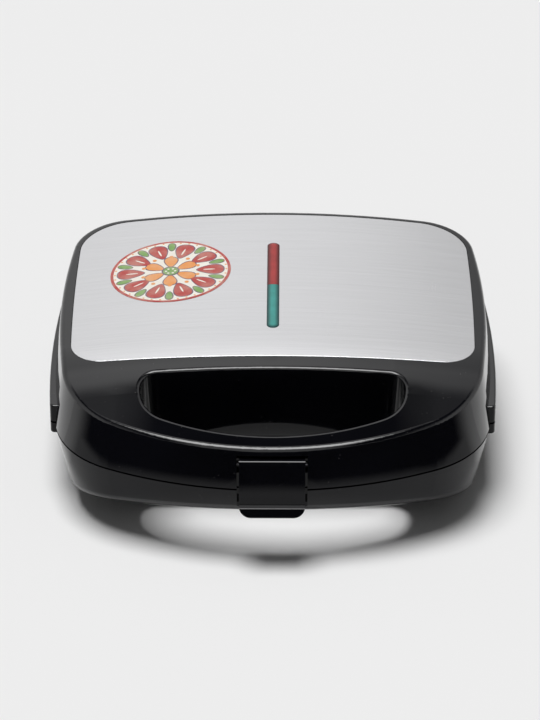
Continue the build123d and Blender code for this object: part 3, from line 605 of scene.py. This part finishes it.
class Coat(Enum):
    """Every finish of the appliance."""

    GLOSS_BLACK = Plastic("gloss_black", (0.0028, 0.0029, 0.0042), roughness=0.03, depth=0.0000006)
    LATCH_BLACK = Plastic("latch_black", (0.0028, 0.0029, 0.0042), roughness=0.04, depth=0.0000008)
    MATT_BLACK = Plastic("matt_black", (0.016, 0.016, 0.017), roughness=0.48, depth=0.00002, marks=0.1)
    HEAT_PLASTIC = Plastic("heat_plastic", (0.3, 0.28, 0.24), roughness=0.5, depth=0.00001, wear=0.0)
    BRUSHED_PANEL = BrushedSteel("brushed_panel", (0.72, 0.72, 0.735))
    # side: painted shade at each lens's sides
    RED_LENS = Lens("red_lens", (0.35, 0.024, 0.022), side=(0.07, 0.003, 0.004))
    GREEN_LENS = Lens("green_lens", (0.035, 0.28, 0.25), side=(0.006, 0.05, 0.05))
    LAMP_GLASS = Glass("lamp_glass", (0.92, 0.94, 0.93))
    COATED_PLATE = NonStick("coated_plate", (0.022, 0.022, 0.023))
    HEATER_SHEATH = Metal("heater_sheath", (0.32, 0.29, 0.26), roughness=0.42, tarnish=0.8)
    PLATED_STEEL = Metal("plated_steel", (0.62, 0.6, 0.55), roughness=0.32)
    CERAMIC = Plastic("ceramic", (0.8, 0.77, 0.7), roughness=0.55, depth=0.00001, wear=0.0)
    REFLECTOR_SHEET = Metal("reflector_sheet", (0.75, 0.75, 0.76), roughness=0.22, grain=500.0)
    SCREW_STEEL = Metal("screw_steel", (0.6, 0.6, 0.6), roughness=0.28)
    PIN_STEEL = Metal("pin_steel", (0.55, 0.55, 0.56), roughness=0.25)
    PIN_BLACK = Metal("pin_black", (0.03, 0.03, 0.032), roughness=0.45)
    FUSE_CASE = Metal("fuse_case", (0.7, 0.66, 0.56), roughness=0.3)
    THERMOSTAT_CASE = Metal("thermostat_case", (0.66, 0.66, 0.66), roughness=0.35)
    TERMINAL_PLASTIC = Plastic("terminal_plastic", (0.75, 0.74, 0.7), roughness=0.4, wear=0.0)
    WIRE_SLEEVE = Plastic("wire_sleeve", (0.62, 0.6, 0.55), roughness=0.6, depth=0.00003, wear=0.0)
    GLAND_RUBBER = Plastic("gland_rubber", (0.018, 0.018, 0.018), roughness=0.55, depth=0.00002, marks=0.0)
    FOOT_RUBBER = Plastic("foot_rubber", (0.03, 0.03, 0.031), roughness=0.7, depth=0.00003, marks=0.0)
    BADGE_INK = Ink("badge_ink", (0.85, 0.8, 0.7), palette=(
        (0.86, 0.83, 0.76), (0.42, 0.03, 0.025), (0.78, 0.3, 0.07), (0.16, 0.33, 0.07), (0.09, 0.05, 0.12)))


class Shade(Enum):
    """Place of each printed colour in the badge's palette."""

    CREAM = 0.1
    RED = 0.3
    ORANGE = 0.5
    GREEN = 0.7
    PLUM = 0.9


# --- Pieces ---------------------------------------------------------------------------
def coat_nodes(coat: Coat, *nodes: str) -> None:
    """Give CAD nodes a finish.

    Args:
        coat: The finish.
        nodes: Names of the CAD nodes.
    """
    for name in nodes:
        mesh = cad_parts[name].data
        mesh.materials.clear()
        mesh.materials.append(coat.value.material())
        LOG.info("node %s: %s", name, coat.value.name)


def new_piece(name: str, mesh: bpy.types.Mesh, body: str, coat: Coat) -> bpy.types.Object:
    """Put a finished mesh in the scene as a piece.

    Args:
        name: Name of the piece.
        mesh: Its mesh, in place.
        body: CAD body that it rides on.
        coat: Its finish.

    Returns:
        The piece.
    """
    piece = bpy.data.objects.new(name, mesh)
    bpy.context.scene.collection.objects.link(piece)
    mesh.materials.clear()
    mesh.materials.append(coat.value.material())
    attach(piece, body)
    LOG.info("piece %s: %d faces on %s", name, len(mesh.polygons), body)
    return piece


class Growth(Group):
    """A geometry node tree that grows a mesh out of points and gives it a finish."""

    def __init__(self, name: str, counts: Sequence[str], numbers: Sequence[str],
                 vectors: Sequence[str]) -> None:
        """Start the tree.

        Args:
            name: Name of the tree.
            counts: Names of its whole-number inputs.
            numbers: Names of its other number inputs.
            vectors: Names of its vector inputs.
        """
        inputs = (("Geometry", ["Points"]), ("Int", counts), ("Float", numbers), ("Vector", vectors),
                  ("Material", ["Finish"]))
        super().__init__("Geometry", name, inputs, [("Geometry", ["Mesh"])])

    def position(self) -> Sequence[bpy.types.NodeSocket]:
        """Return X, Y and Z of the points that a mesh is made of."""
        return self.split(self.grow("GeometryNodeInputPosition"))

    def cylinder(self, fill: str, **inputs: object) -> bpy.types.NodeSocket:
        """Return a cylinder about Z, with its ends closed in one way."""
        made = self.node("GeometryNodeMeshCylinder", fill_type=fill)
        return self.fill(made, **inputs).outputs["Mesh"]

    def copies(self, points: object, shape: object, turn: object) -> bpy.types.NodeSocket:
        """Return real copies of a shape on points, turned."""
        placed = self.grow("GeometryNodeInstanceOnPoints", Points=points, Instance=shape, Rotation=turn)
        return self.grow("GeometryNodeRealizeInstances", Geometry=placed)

    def finished(self, grown: object) -> "Growth":
        """Put out the grown mesh with its finish, and return the tree.

        Args:
            grown: The mesh that the nodes make.

        Returns:
            The tree.
        """
        finish = self.given["Finish"]
        self.fill(self.out, Mesh=self.grow("GeometryNodeSetMaterial", Geometry=grown, Material=finish))
        return self

    def mesh(self, name: str, points: Sequence[Vector], coat: Coat,
             values: dict[str, object]) -> bpy.types.Mesh:
        """Run the tree on a set of points.

        Args:
            name: Name of the mesh.
            points: Where the tree puts its shapes.
            coat: The mesh's finish.
            values: The tree's other inputs by name.

        Returns:
            The finished mesh.
        """
        values = {**values, "Finish": coat.value.material()}
        seed_mesh = bpy.data.meshes.new(name + "_points")
        seed_mesh.from_pydata([tuple(point) for point in points], [], [])
        seed = bpy.data.objects.new(name + "_seed", seed_mesh)
        bpy.context.scene.collection.objects.link(seed)
        modifier = seed.modifiers.new("grow", "NODES")
        modifier.node_group = self.tree
        for item in self.tree.interface.items_tree:
            if item.in_out == "INPUT" and item.name in values:
                modifier[item.identifier] = values[item.name]
        bpy.context.view_layer.update()
        shown = seed.evaluated_get(bpy.context.evaluated_depsgraph_get())
        mesh = bpy.data.meshes.new_from_object(shown)
        mesh.name = name
        seed.modifiers.clear()
        bpy.data.objects.remove(seed)
        return mesh


def smooth_by_angle(mesh: bpy.types.Mesh, angle: float) -> None:
    """Shade a mesh smooth, with sharp edges past an angle in degrees."""
    mesh.shade_smooth()
    mesh.set_sharp_from_angle(angle=math.radians(angle))


@dataclass
class PlasticShells:
    """Lid and base shells with their inner frames, latch and feet."""

    gloss: Sequence[str] = ("upper_housing", "lower_housing")
    frames: Sequence[str] = ("upper_deck", "lower_deck")

    def dress(self) -> None:
        """Give every shell piece its finish."""
        coat_nodes(Coat.GLOSS_BLACK, *self.gloss)
        coat_nodes(Coat.MATT_BLACK, *self.frames)
        coat_nodes(Coat.LATCH_BLACK, "latch")
        coat_nodes(Coat.FOOT_RUBBER, "rubber_feet")
        coat_nodes(Coat.GLAND_RUBBER, "cord_gland")
        coat_nodes(Coat.PIN_STEEL, "hinge_pins")
        coat_nodes(Coat.PIN_BLACK, "latch_pin")


@dataclass
class CookingParts:
    """Plates, heating elements and what holds them."""

    halves: Sequence[str] = ("lower", "upper")

    def dress(self) -> None:
        """Give every cooking and heating piece its finish."""
        for half in self.halves:
            coat_nodes(Coat.COATED_PLATE, half + "_plate")
            coat_nodes(Coat.HEATER_SHEATH, half + "_heater")
            coat_nodes(Coat.PLATED_STEEL, half + "_heater_clamps")
            coat_nodes(Coat.CERAMIC, half + "_heater_terminals")
            coat_nodes(Coat.REFLECTOR_SHEET, half + "_reflector")
            coat_nodes(Coat.WIRE_SLEEVE, half + "_wiring")
            for kind in ("clamp", "plate", "deck"):
                coat_nodes(Coat.SCREW_STEEL, f"{half}_{kind}_screws")
        coat_nodes(Coat.SCREW_STEEL, "carrier_screws")
        coat_nodes(Coat.PLATED_STEEL, "fuse_clip")
        coat_nodes(Coat.FUSE_CASE, "thermal_fuse")
        coat_nodes(Coat.THERMOSTAT_CASE, "thermostat")
        coat_nodes(Coat.TERMINAL_PLASTIC, "terminal_block")
        coat_nodes(Coat.HEAT_PLASTIC, "lamp_carrier")
        coat_nodes(Coat.LAMP_GLASS, "power_lamp", "ready_lamp")


# --- Indicator lenses -----------------------------------------------------------------
@dataclass
class IndicatorBar:
    """Two crowned lenses in line, each with its flange under the lid."""

    flange_width: float = 1.5 * MM
    flange_thickness: float = 1.2 * MM
    crown: float = 0.62 * MM
    merge_distance: float = 0.001 * MM
    sharp_angle: float = 40.0
    rings: int = 14
    arc_steps: int = 28
    straight_steps: int = 10

    def dress(self) -> None:
        """Build both lenses in place of the CAD ones."""
        for name, coat, rounded in (("lens_green", Coat.GREEN_LENS, -1), ("lens_red", Coat.RED_LENS, 1)):
            piece = new_piece(name + "_crowned", self.mesh(name, rounded), "lid", coat)
            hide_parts(name)

    def outline(self, half: float, flat_y: float, centre_y: float) -> list[tuple[float, float]]:
        """Outline of a bar with one round end, seen from above.

        Args:
            half: Half its width.
            flat_y: Its flat end.
            centre_y: Centre of its round end.

        Returns:
            Points from one corner of the flat end round to the other.
        """
        run = [flat_y + (centre_y - flat_y) * step / self.straight_steps
               for step in range(self.straight_steps)]
        way = math.copysign(1.0, centre_y - flat_y)
        turns = [math.pi * step / self.arc_steps for step in range(self.arc_steps + 1)]
        bend = [(half * math.cos(turn), centre_y + way * half * math.sin(turn)) for turn in turns]
        return [(half, y) for y in run] + bend + [(-half, y) for y in reversed(run)]

    def mesh(self, name: str, rounded: int) -> bpy.types.Mesh:
        """Mesh of one lens, with the share of its half width as the attribute reach.

        Args:
            name: Name of the CAD lens.
            rounded: -1 for a round front end, 1 for a round rear end.

        Returns:
            The mesh.
        """
        low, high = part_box(name)
        half = high[0] - self.flange_width
        flat_y, end_y = (high[1], low[1]) if rounded < 0 else (low[1], high[1])
        centre_y = end_y - rounded * half
        seat = low[2] + self.flange_thickness
        edge = high[2] - self.crown
        quarter = [math.pi / 2 * step / self.rings for step in range(self.rings + 1)]
        levels = [(1.0, seat)] + [(math.cos(turn), edge + self.crown * math.sin(turn)) for turn in quarter]
        made = bmesh.new()
        reach = made.verts.layers.float.new("reach")
        rings = []
        for share, z in levels:
            ring = [made.verts.new((x, y, z)) for x, y in self.outline(half * share, flat_y, centre_y)]
            for vertex in ring:
                vertex[reach] = share
            rings.append(ring)
        for outer, inner in zip(rings, rings[1:]):
            for index in range(len(outer) - 1):
                made.faces.new((outer[index], outer[index + 1], inner[index + 1], inner[index]))
        made.faces.new([ring[0] for ring in rings] + [ring[-1] for ring in reversed(rings[:-1])])
        made.faces.new(rings[0])
        bmesh.ops.remove_doubles(made, verts=made.verts[:], dist=self.merge_distance)
        skirt = bmesh.ops.create_cube(made, size=1.0)["verts"]
        size = (2 * high[0], high[1] - low[1], self.flange_thickness)
        middle = (0.0, (low[1] + high[1]) / 2, low[2] + self.flange_thickness / 2)
        bmesh.ops.scale(made, vec=size, verts=skirt)
        bmesh.ops.translate(made, vec=middle, verts=skirt)
        for vertex in skirt:
            vertex[reach] = 1.0
        bmesh.ops.recalc_face_normals(made, faces=made.faces[:])
        mesh = bpy.data.meshes.new(name + "_crowned")
        made.to_mesh(mesh)
        made.free()
        smooth_by_angle(mesh, self.sharp_angle)
        return mesh


# --- Printed badge --------------------------------------------------------------------
@dataclass(frozen=True)
class InkRing:
    """Like shapes printed round the middle of the badge."""

    name: str
    count: int
    radius: float
    length: float
    width: float
    layer: int
    shade: Shade
    phase: float = 0.0
    taper: float = 0.0


@dataclass
class Badge:
    """Round printed badge: a rosette of petals and dots on a pale ground."""

    middle: tuple[float, float] = (-54.5 * MM, 36.0 * MM)
    radius: float = 32.0 * MM
    crown_radius: float = 714.0 * MM
    first_lift: float = 0.08 * MM
    layer_lift: float = 0.025 * MM
    thickness: float = 0.02 * MM
    outline: float = 1.1 * MM
    disc_points: int = 56
    disc_rings: int = 7

    def rings(self) -> list[InkRing]:
        """Rings of shapes from the ground up.

        Returns:
            The rings in the order of printing.
        """
        size = self.radius
        petals = [
            ("outer_petals", 10, 0.66 * size, 0.44 * size, 0.27 * size, Shade.RED, 0.0, 0.45),
            ("leaves", 10, 0.8 * size, 0.24 * size, 0.11 * size, Shade.GREEN, 18.0, 0.2),
            ("inner_petals", 6, 0.3 * size, 0.32 * size, 0.2 * size, Shade.ORANGE, 30.0, 0.4),
        ]
        made = [
            InkRing("rim", 1, 0.0, 2 * size, 2 * size, 0, Shade.RED),
            InkRing("ground", 1, 0.0, 1.9 * size, 1.9 * size, 1, Shade.CREAM),
            InkRing("rim_dots", 40, 0.925 * size, 0.035 * size, 0.035 * size, 2, Shade.ORANGE),
        ]
        for name, count, radius, length, width, shade, phase, taper in petals:
            grown = (length + self.outline, width + self.outline)
            made.append(InkRing(name + "_outline", count, radius, *grown, 2, Shade.PLUM, phase, taper))
            made.append(InkRing(name, count, radius, length, width, 3, shade, phase, taper))
        seeds = 0.07 * size
        made.append(InkRing("seeds", 10, 0.47 * size, seeds, seeds, 4, Shade.ORANGE, 18.0))
        made.append(InkRing("veins", 10, 0.64 * size, 0.2 * size, 0.03 * size, 4, Shade.CREAM))
        made.append(InkRing("heart_outline", 1, 0.0, 0.3 * size, 0.3 * size, 4, Shade.PLUM))
        made.append(InkRing("heart", 1, 0.0, 0.25 * size, 0.25 * size, 5, Shade.GREEN))
        made.append(InkRing("heart_dots", 6, 0.075 * size, 0.04 * size, 0.04 * size, 6, Shade.CREAM))
        return made

    def tree(self) -> Growth:
        """Tree that prints a ring of shapes on the crowned panel.

        Returns:
            The tree.
        """
        made = Growth("ink_ring", ["Count"], ["Radius", "Phase", "Length", "Width", "Taper", "Lift",
                                              "Thickness", "Shade", "Crown Radius"], [])
        given = made.given
        disc = made.cylinder("TRIANGLE_FAN", Vertices=self.disc_points, Side_Segments=1,
                             Fill_Segments=self.disc_rings, Radius=0.5, Depth=1.0)
        along, across, up = made.position()
        narrowed = made.math("MULTIPLY_ADD", made.times(along, 2.0), given["Taper"], 1.0)
        shaped = made.joined(made.times(along, given["Length"]),
                             made.times(made.times(across, given["Width"]), narrowed),
                             made.times(up, given["Thickness"]))
        petal = made.grow("GeometryNodeSetPosition", Geometry=disc, Position=shaped)

        step = made.math("DIVIDE", math.tau, given["Count"])
        turn = made.plus(made.times(made.grow("GeometryNodeInputIndex"), step), given["Phase"])
        parts = [made.math(part, turn) for part in ("COSINE", "SINE")]
        spot = made.joined(*(made.times(part, given["Radius"]) for part in parts))
        centre = made.node("GeometryNodeSampleIndex", data_type="FLOAT_VECTOR")
        made.fill(centre, Geometry=given["Points"], Value=made.grow("GeometryNodeInputPosition"))
        places = made.vector("ADD", spot, centre.outputs[0]).outputs[0]
        points = made.grow("GeometryNodePoints", Count=given["Count"], Position=places)
        printed = made.copies(points, petal, made.joined(0.0, 0.0, turn))

        side, radius = made.position()[0], given["Crown Radius"]
        square = made.minus(made.times(radius, radius), made.times(side, side))
        sunk = made.minus(made.math("SQRT", square), radius)
        lift = made.joined(0.0, 0.0, made.plus(sunk, given["Lift"]))
        draped = made.grow("GeometryNodeSetPosition", Geometry=printed, Offset=lift)
        shaded = made.node("GeometryNodeStoreNamedAttribute", data_type="FLOAT", domain="POINT")
        made.fill(shaded, Geometry=draped, Name="shade", Value=given["Shade"])
        return made.finished(shaded.outputs[0])

    def dress(self) -> None:
        """Print every ring on the panel."""
        tree = self.tree()
        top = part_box("top_panel")[1][2]
        for ring in self.rings():
            mesh = tree.mesh("badge_" + ring.name, [Vector((*self.middle, top))], Coat.BADGE_INK, {
                "Count": ring.count, "Radius": ring.radius, "Phase": math.radians(ring.phase),
                "Length": ring.length, "Width": ring.width, "Taper": ring.taper,
                "Lift": self.first_lift + ring.layer * self.layer_lift,
                "Thickness": self.thickness, "Shade": ring.shade.value,
                "Crown Radius": self.crown_radius,
            })
            new_piece(mesh.name, mesh, "lid", Coat.BADGE_INK)


# --- Screws ---------------------------------------------------------------------------
@dataclass(frozen=True)
class ScrewRow:
    """One CAD node of like screws and which way their heads face."""

    node: str
    body: str
    head_radius: float
    head_height: float
    shank_radius: float
    faces_up: bool


@dataclass
class Screws:
    """Pan-head screws with a cross recess, in place of the plain CAD ones."""

    rows: Sequence[ScrewRow] = (
        ScrewRow("lower_deck_screws", "base", 2.7 * MM, 1.7 * MM, 1.4 * MM, True),
        ScrewRow("upper_deck_screws", "lid", 2.7 * MM, 1.7 * MM, 1.4 * MM, False),
        ScrewRow("lower_plate_screws", "base", 3.8 * MM, 2.4 * MM, 2.0 * MM, False),
        ScrewRow("upper_plate_screws", "lid", 3.8 * MM, 2.4 * MM, 2.0 * MM, True),
    )
    turn_up: float = 0.3
    turn_down: float = -0.4
    sharp_angle: float = 30.0

    # Shares of a head's radius or height
    crown_power: float = 1.6
    crown_fall: float = 0.42
    crown_start: float = 0.25
    arm_length: float = 1.15
    arm_width: float = 0.26
    arm_depth: float = 1.1
    shank_start: float = 0.9

    def tree(self) -> Growth:
        """Tree that puts a screw on every point.

        Returns:
            The tree.
        """
        made = Growth("cross_recess_screw", [], ["Head Radius", "Head Height", "Shank Radius", "Length"],
                      ["Turn"])
        radius, height, length = (made.given[name] for name in ("Head Radius", "Head Height", "Length"))
        disc = made.cylinder("TRIANGLE_FAN", Vertices=48, Side_Segments=2, Fill_Segments=8,
                             Radius=radius, Depth=height)
        x, y, z = made.position()
        out_x, out_y = made.math("DIVIDE", x, radius), made.math("DIVIDE", y, radius)
        square = made.plus(made.times(out_x, out_x), made.times(out_y, out_y))
        fall = made.times(made.math("POWER", square, self.crown_power), made.times(height, self.crown_fall))
        upper = made.math("GREATER_THAN", z, made.times(height, self.crown_start))
        sink = made.minus(made.times(height, -0.5), made.times(upper, fall))
        head = made.grow("GeometryNodeSetPosition", Geometry=disc, Offset=made.joined(0.0, 0.0, sink))

        cross = made.node("GeometryNodeMeshBoolean", operation="DIFFERENCE")
        made.feed(cross.inputs["Mesh 1"], head)
        for wide, narrow in ((self.arm_length, self.arm_width), (self.arm_width, self.arm_length)):
            size = made.joined(made.times(radius, wide), made.times(radius, narrow),
                               made.times(height, self.arm_depth))
            made.feed(cross.inputs["Mesh 2"], made.grow("GeometryNodeMeshCube", Size=size))

        run = made.minus(length, made.times(height, self.shank_start))
        shank = made.cylinder("NGON", Vertices=32, Side_Segments=1, Depth=run,
                              Radius=made.given["Shank Radius"])
        low = made.joined(0.0, 0.0, made.minus(made.times(run, 0.5), length))
        lowered = made.grow("GeometryNodeTransform", Geometry=shank, Translation=low)
        whole = made.node("GeometryNodeJoinGeometry")
        for piece in (cross.outputs[0], lowered):
            made.feed(whole.inputs[0], piece)
        return made.finished(made.copies(made.given["Points"], whole.outputs[0], made.given["Turn"]))

    def dress(self) -> None:
        """Put every row of screws in place of its CAD node."""
        tree = self.tree()
        for row in self.rows:
            low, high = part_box(row.node)
            x, y = high[0] - row.head_radius, high[1] - row.head_radius
            front = low[1] + row.head_radius
            z = high[2] if row.faces_up else low[2]
            spots = [Vector((side * x, depth, z)) for side in (-1, 1) for depth in (front, y)]
            turn = (0.0, 0.0, self.turn_up) if row.faces_up else (math.pi, 0.0, self.turn_down)
            mesh = tree.mesh(row.node + "_cross", spots, Coat.SCREW_STEEL, {
                "Head Radius": row.head_radius, "Head Height": row.head_height,
                "Shank Radius": row.shank_radius, "Length": high[2] - low[2], "Turn": turn,
            })
            smooth_by_angle(mesh, self.sharp_angle)
            piece = new_piece(mesh.name, mesh, row.body, Coat.SCREW_STEEL)
            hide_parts(row.node)


# --- Studio ---------------------------------------------------------------------------
@dataclass(frozen=True)
class Ramp:
    """A brightness that changes over an angle, a direction or a distance, and stays level outside."""

    start: float
    end: float
    first: float
    last: float
    smooth: bool = False

    def over(self, sheet: Sheet, value: object) -> bpy.types.NodeSocket:
        """Return the brightness at a value."""
        return sheet.span(value, self.start, self.end, self.first, self.last, self.smooth)


@dataclass
class Studio:
    """Pale floor, soft overhead light, pale surroundings and the camera."""

    paper: Colour = (0.855, 0.855, 0.855)
    paper_shadow: float = 0.995
    floor_size: float = 12.0
    light_angle: float = 28.0
    light_from_front: float = 4.5
    light_from_left: float = 6.5
    light_strength: float = 2.78
    ambient: float = 0.12

    # Mirrored rear wall, over a ray's height in degrees and over its way sideways
    rear_wall: float = 1.5
    wall_rise: Ramp = Ramp(28.0, 50.0, 0.635, 0.76)
    wall_shoulder: Ramp = Ramp(49.0, 57.0, 0.0, 0.24, smooth=True)
    wall_top: Ramp = Ramp(62.0, 74.0, 1.0, 0.01, smooth=True)
    outer_top: Ramp = Ramp(64.0, 77.5, 1.0, 0.27, smooth=True)
    outer_end: Ramp = Ramp(79.0, 82.0, 1.0, 0.02)
    outer_share: Ramp = Ramp(0.165, 0.22, 0.0, 1.0)
    wall_right: Ramp = Ramp(-0.01, 0.3, 1.0, 0.55, smooth=True)
    wall_left: Ramp = Ramp(-0.4, -0.1, 0.8, 1.0, smooth=True)

    # Mirrored light panel in front, and the walls beside both
    front_panel: float = 10.5
    panel_begin: Ramp = Ramp(82.0, 88.0, 0.0, 1.0)
    panel_rise: Ramp = Ramp(104.0, 110.0, 0.12, 1.0)
    panel_end: Ramp = Ramp(136.0, 145.0, 1.0, 0.085)
    panel_offset: float = 0.05
    panel_side: Ramp = Ramp(0.3, 0.46, 1.0, 0.0)
    side_walls: float = 0.9
    side_share: Ramp = Ramp(0.55, 0.85, 0.0, 1.0, smooth=True)

    # Card on the floor that paints what reflections see: painted shade over the distance in metres, a paler
    # painted reflection over the angle from the front in degrees
    card_opening: float = 0.1
    card_reach: float = 1.6
    card_sweep: float = 172.0
    card_steps: int = 48
    card_lift: float = 0.0005
    card_near_painted_shade: Ramp = Ramp(0.112, 0.14, 0.85, 0.36, smooth=True)
    card_far_painted_dark: Ramp = Ramp(0.235, 0.255, 1.0, 0.01, smooth=True)
    card_aside_painted_reflection: Ramp = Ramp(64.0, 82.0, 0.0, 0.7, smooth=True)

    camera_elevation: float = 31.5
    camera_yaw: float = 0.3
    camera_distance: float = 1.8
    camera_target: Sequence[float] = (-0.0016, 0.0, 0.055)
    focal_pixels: float = 3420.0
    image_height: float = 720.0
    sensor_width: float = 36.0

    def build(self) -> None:
        """Build floor, light, surroundings and camera."""
        self.floor()
        self.light()
        self.card()
        self.surroundings()
        self.camera()

    @staticmethod
    def matt_piece(name: str, corners: Sequence[Sequence[float]], faces: Sequence[Sequence[int]],
                   finish: str, roughness: float) -> tuple[bpy.types.Object, Paint]:
        """Add a piece of the studio with a matt material that has no colour yet.

        Args:
            name: Name of the piece.
            corners: Its corners.
            faces: Numbers of each face's corners.
            finish: Name of its material.
            roughness: Roughness of its material.

        Returns:
            The piece and its material's tree.
        """
        mesh = bpy.data.meshes.new(name)
        mesh.from_pydata(corners, [], faces)
        piece = bpy.data.objects.new(name, mesh)
        bpy.context.scene.collection.objects.link(piece)
        made = bpy.data.materials.new(finish)
        paint = Paint(made)
        paint.fill(paint.shader, Roughness=roughness, Specular_IOR_Level=0.0)
        mesh.materials.append(made)
        return piece, paint

    def floor(self) -> None:
        """Lay the pale floor."""
        half = self.floor_size / 2
        corners = [(-half, -half, 0.0), (half, -half, 0.0), (half, half, 0.0), (-half, half, 0.0)]
        floor, paint = self.matt_piece("floor", corners, [(0, 1, 2, 3)], "paper", 0.9)
        _, tone = paint.effect("grain", Fineness=1200.0, Drift=3.0)
        low = tuple(channel * self.paper_shadow for channel in self.paper)
        paint.fill(paint.shader, Base_Color=paint.blend(tone, low, self.paper))

    def light(self) -> None:
        """Hang the soft overhead light, which reflections don't show."""
        lamp = bpy.data.lights.new("overhead_softbox", "SUN")
        lamp.energy = self.light_strength
        lamp.angle = math.radians(self.light_angle)
        light = bpy.data.objects.new("overhead_softbox", lamp)
        turn = (math.radians(self.light_from_front), -math.radians(self.light_from_left), 0.0)
        light.rotation_euler = turn
        light.visible_glossy = False
        bpy.context.scene.collection.objects.link(light)

    def card(self) -> None:
        """Lay a curved card in front that only reflections show, painted as a reflection: pale near the
        case, painted shade beyond, black further off and paler to the sides.
        """
        start, sweep = math.radians(-90.0 - self.card_sweep / 2), math.radians(self.card_sweep)
        corners, faces = [], []
        for step in range(self.card_steps + 1):
            turn = start + sweep * step / self.card_steps
            for radius in (self.card_opening, self.card_reach):
                corners.append((radius * math.cos(turn), radius * math.sin(turn), self.card_lift))
            if step:
                first = 2 * step - 2
                faces.append((first, first + 1, first + 3, first + 2))
        card, paint = self.matt_piece("painted_reflection_card", corners, faces, "painted_reflection_card", 0.95)
        card.visible_camera = card.visible_diffuse = card.visible_shadow = False
        card.visible_transmission = False
        distance = paint.vector("LENGTH", paint.place).outputs["Value"]
        near, far = self.card_near_painted_shade.over(paint, distance), self.card_far_painted_dark.over(paint, distance)
        x, y, _ = paint.split(paint.place)
        turned = self.degrees(paint, x, paint.times(y, -1.0))
        aside = self.card_aside_painted_reflection.over(paint, paint.math("ABSOLUTE", turned))
        # Painted reflection: painted shade of the floor near the case, black further off, paler to the
        # sides
        shade = paint.math("MAXIMUM", paint.times(near, far), aside)
        paint.fill(paint.shader, Base_Color=paint.joined(shade, shade, shade))

    @staticmethod
    def degrees(sheet: Sheet, first: object, second: object) -> bpy.types.NodeSocket:
        """Return the angle of two parts of a direction, in degrees."""
        return sheet.times(sheet.math("ARCTAN2", first, second), 180.0 / math.pi)

    def surroundings(self) -> None:
        """Set the pale background, the dim room and what glossy surfaces see of it."""
        world = bpy.data.worlds.new("studio")
        bpy.context.scene.world = world
        world.use_nodes = True
        world.node_tree.nodes.clear()
        sheet = Sheet(world.node_tree)
        path = sheet.node("ShaderNodeLightPath")
        seen = path.outputs["Is Camera Ray"]
        glossy = sheet.times(path.outputs["Is Glossy Ray"], sheet.minus(1.0, seen))
        white = (1.0, 1.0, 1.0)
        room, mirrored, backdrop = (
            sheet.grow("ShaderNodeBackground", Color=colour, Strength=strength) for colour, strength in (
                (white, self.ambient), (white, self.reflections(sheet)), (self.paper, 1.0)))
        unseen = sheet.fill(sheet.node("ShaderNodeMixShader"), glossy, room, mirrored).outputs[0]
        every = sheet.fill(sheet.node("ShaderNodeMixShader"), seen, unseen, backdrop).outputs[0]
        sheet.fill(sheet.node("ShaderNodeOutputWorld"), Surface=every)

    def reflections(self, sheet: Sheet) -> bpy.types.NodeSocket:
        """Brightness of the room in reflections: a pale rear wall and a light panel in front.

        The height runs from 0 degrees at the rear horizon over 90 overhead to 180 in front.

        Args:
            sheet: The world's tree.

        Returns:
            The brightness.
        """
        side, depth, rise = sheet.split(sheet.node("ShaderNodeTexCoord").outputs["Generated"])
        height = self.degrees(sheet, rise, depth)
        away = sheet.math("ABSOLUTE", side)
        low = sheet.plus(self.wall_rise.over(sheet, height), self.wall_shoulder.over(sheet, height))
        outer = sheet.times(self.outer_top.over(sheet, height), self.outer_end.over(sheet, height))
        apart = self.outer_share.over(sheet, away)
        high = sheet.plus(sheet.times(outer, apart),
                          sheet.times(self.wall_top.over(sheet, height), sheet.minus(1.0, apart)))
        ends = [ramp.over(sheet, side) for ramp in (self.wall_right, self.wall_left)]
        wall = self.multiplied(sheet, self.rear_wall, low, high, *ends)
        steps = [ramp.over(sheet, height) for ramp in (self.panel_begin, self.panel_rise, self.panel_end)]
        centred = sheet.math("ABSOLUTE", sheet.plus(side, self.panel_offset))
        panel = self.multiplied(sheet, self.front_panel, *steps, self.panel_side.over(sheet, centred))
        aside = self.side_share.over(sheet, away)
        ahead = sheet.times(sheet.plus(wall, panel), sheet.minus(1.0, aside))
        return sheet.plus(ahead, sheet.times(aside, self.side_walls))

    @staticmethod
    def multiplied(sheet: Sheet, value: float, *shares: object) -> object:
        """Return a value times every share.

        Args:
            sheet: The tree that gets the nodes.
            value: The first factor.
            shares: The other factors.

        Returns:
            The product.
        """
        for share in shares:
            value = sheet.times(share, value)
        return value

    def camera(self) -> None:
        """Set up the camera."""
        lens = bpy.data.cameras.new("camera")
        lens.sensor_width = self.sensor_width
        lens.lens = self.focal_pixels * lens.sensor_width / self.image_height
        lens.clip_end = 100.0
        camera = bpy.data.objects.new("camera", lens)
        rise, yaw = math.radians(self.camera_elevation), math.radians(self.camera_yaw)
        back = Vector((math.sin(yaw) * math.cos(rise), -math.cos(yaw) * math.cos(rise), math.sin(rise)))
        camera.location = Vector(self.camera_target) + back * self.camera_distance
        camera.rotation_euler = back.to_track_quat("Z", "Y").to_euler()
        bpy.context.scene.collection.objects.link(camera)
        bpy.context.scene.camera = camera


def main() -> None:
    """Build the looks in order."""
    logging.basicConfig(level=logging.INFO, format="%(name)s: %(message)s")
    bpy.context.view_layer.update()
    Studio().build()
    PlasticShells().dress()
    coat_nodes(Coat.BRUSHED_PANEL, "top_panel")
    coat_nodes(Coat.RED_LENS, "lens_red")
    coat_nodes(Coat.GREEN_LENS, "lens_green")
    CookingParts().dress()
    IndicatorBar().dress()
    Badge().dress()
    Screws().dress()
    bpy.context.scene.view_settings.view_transform = "Standard"


if __name__ == "__main__":
    main()
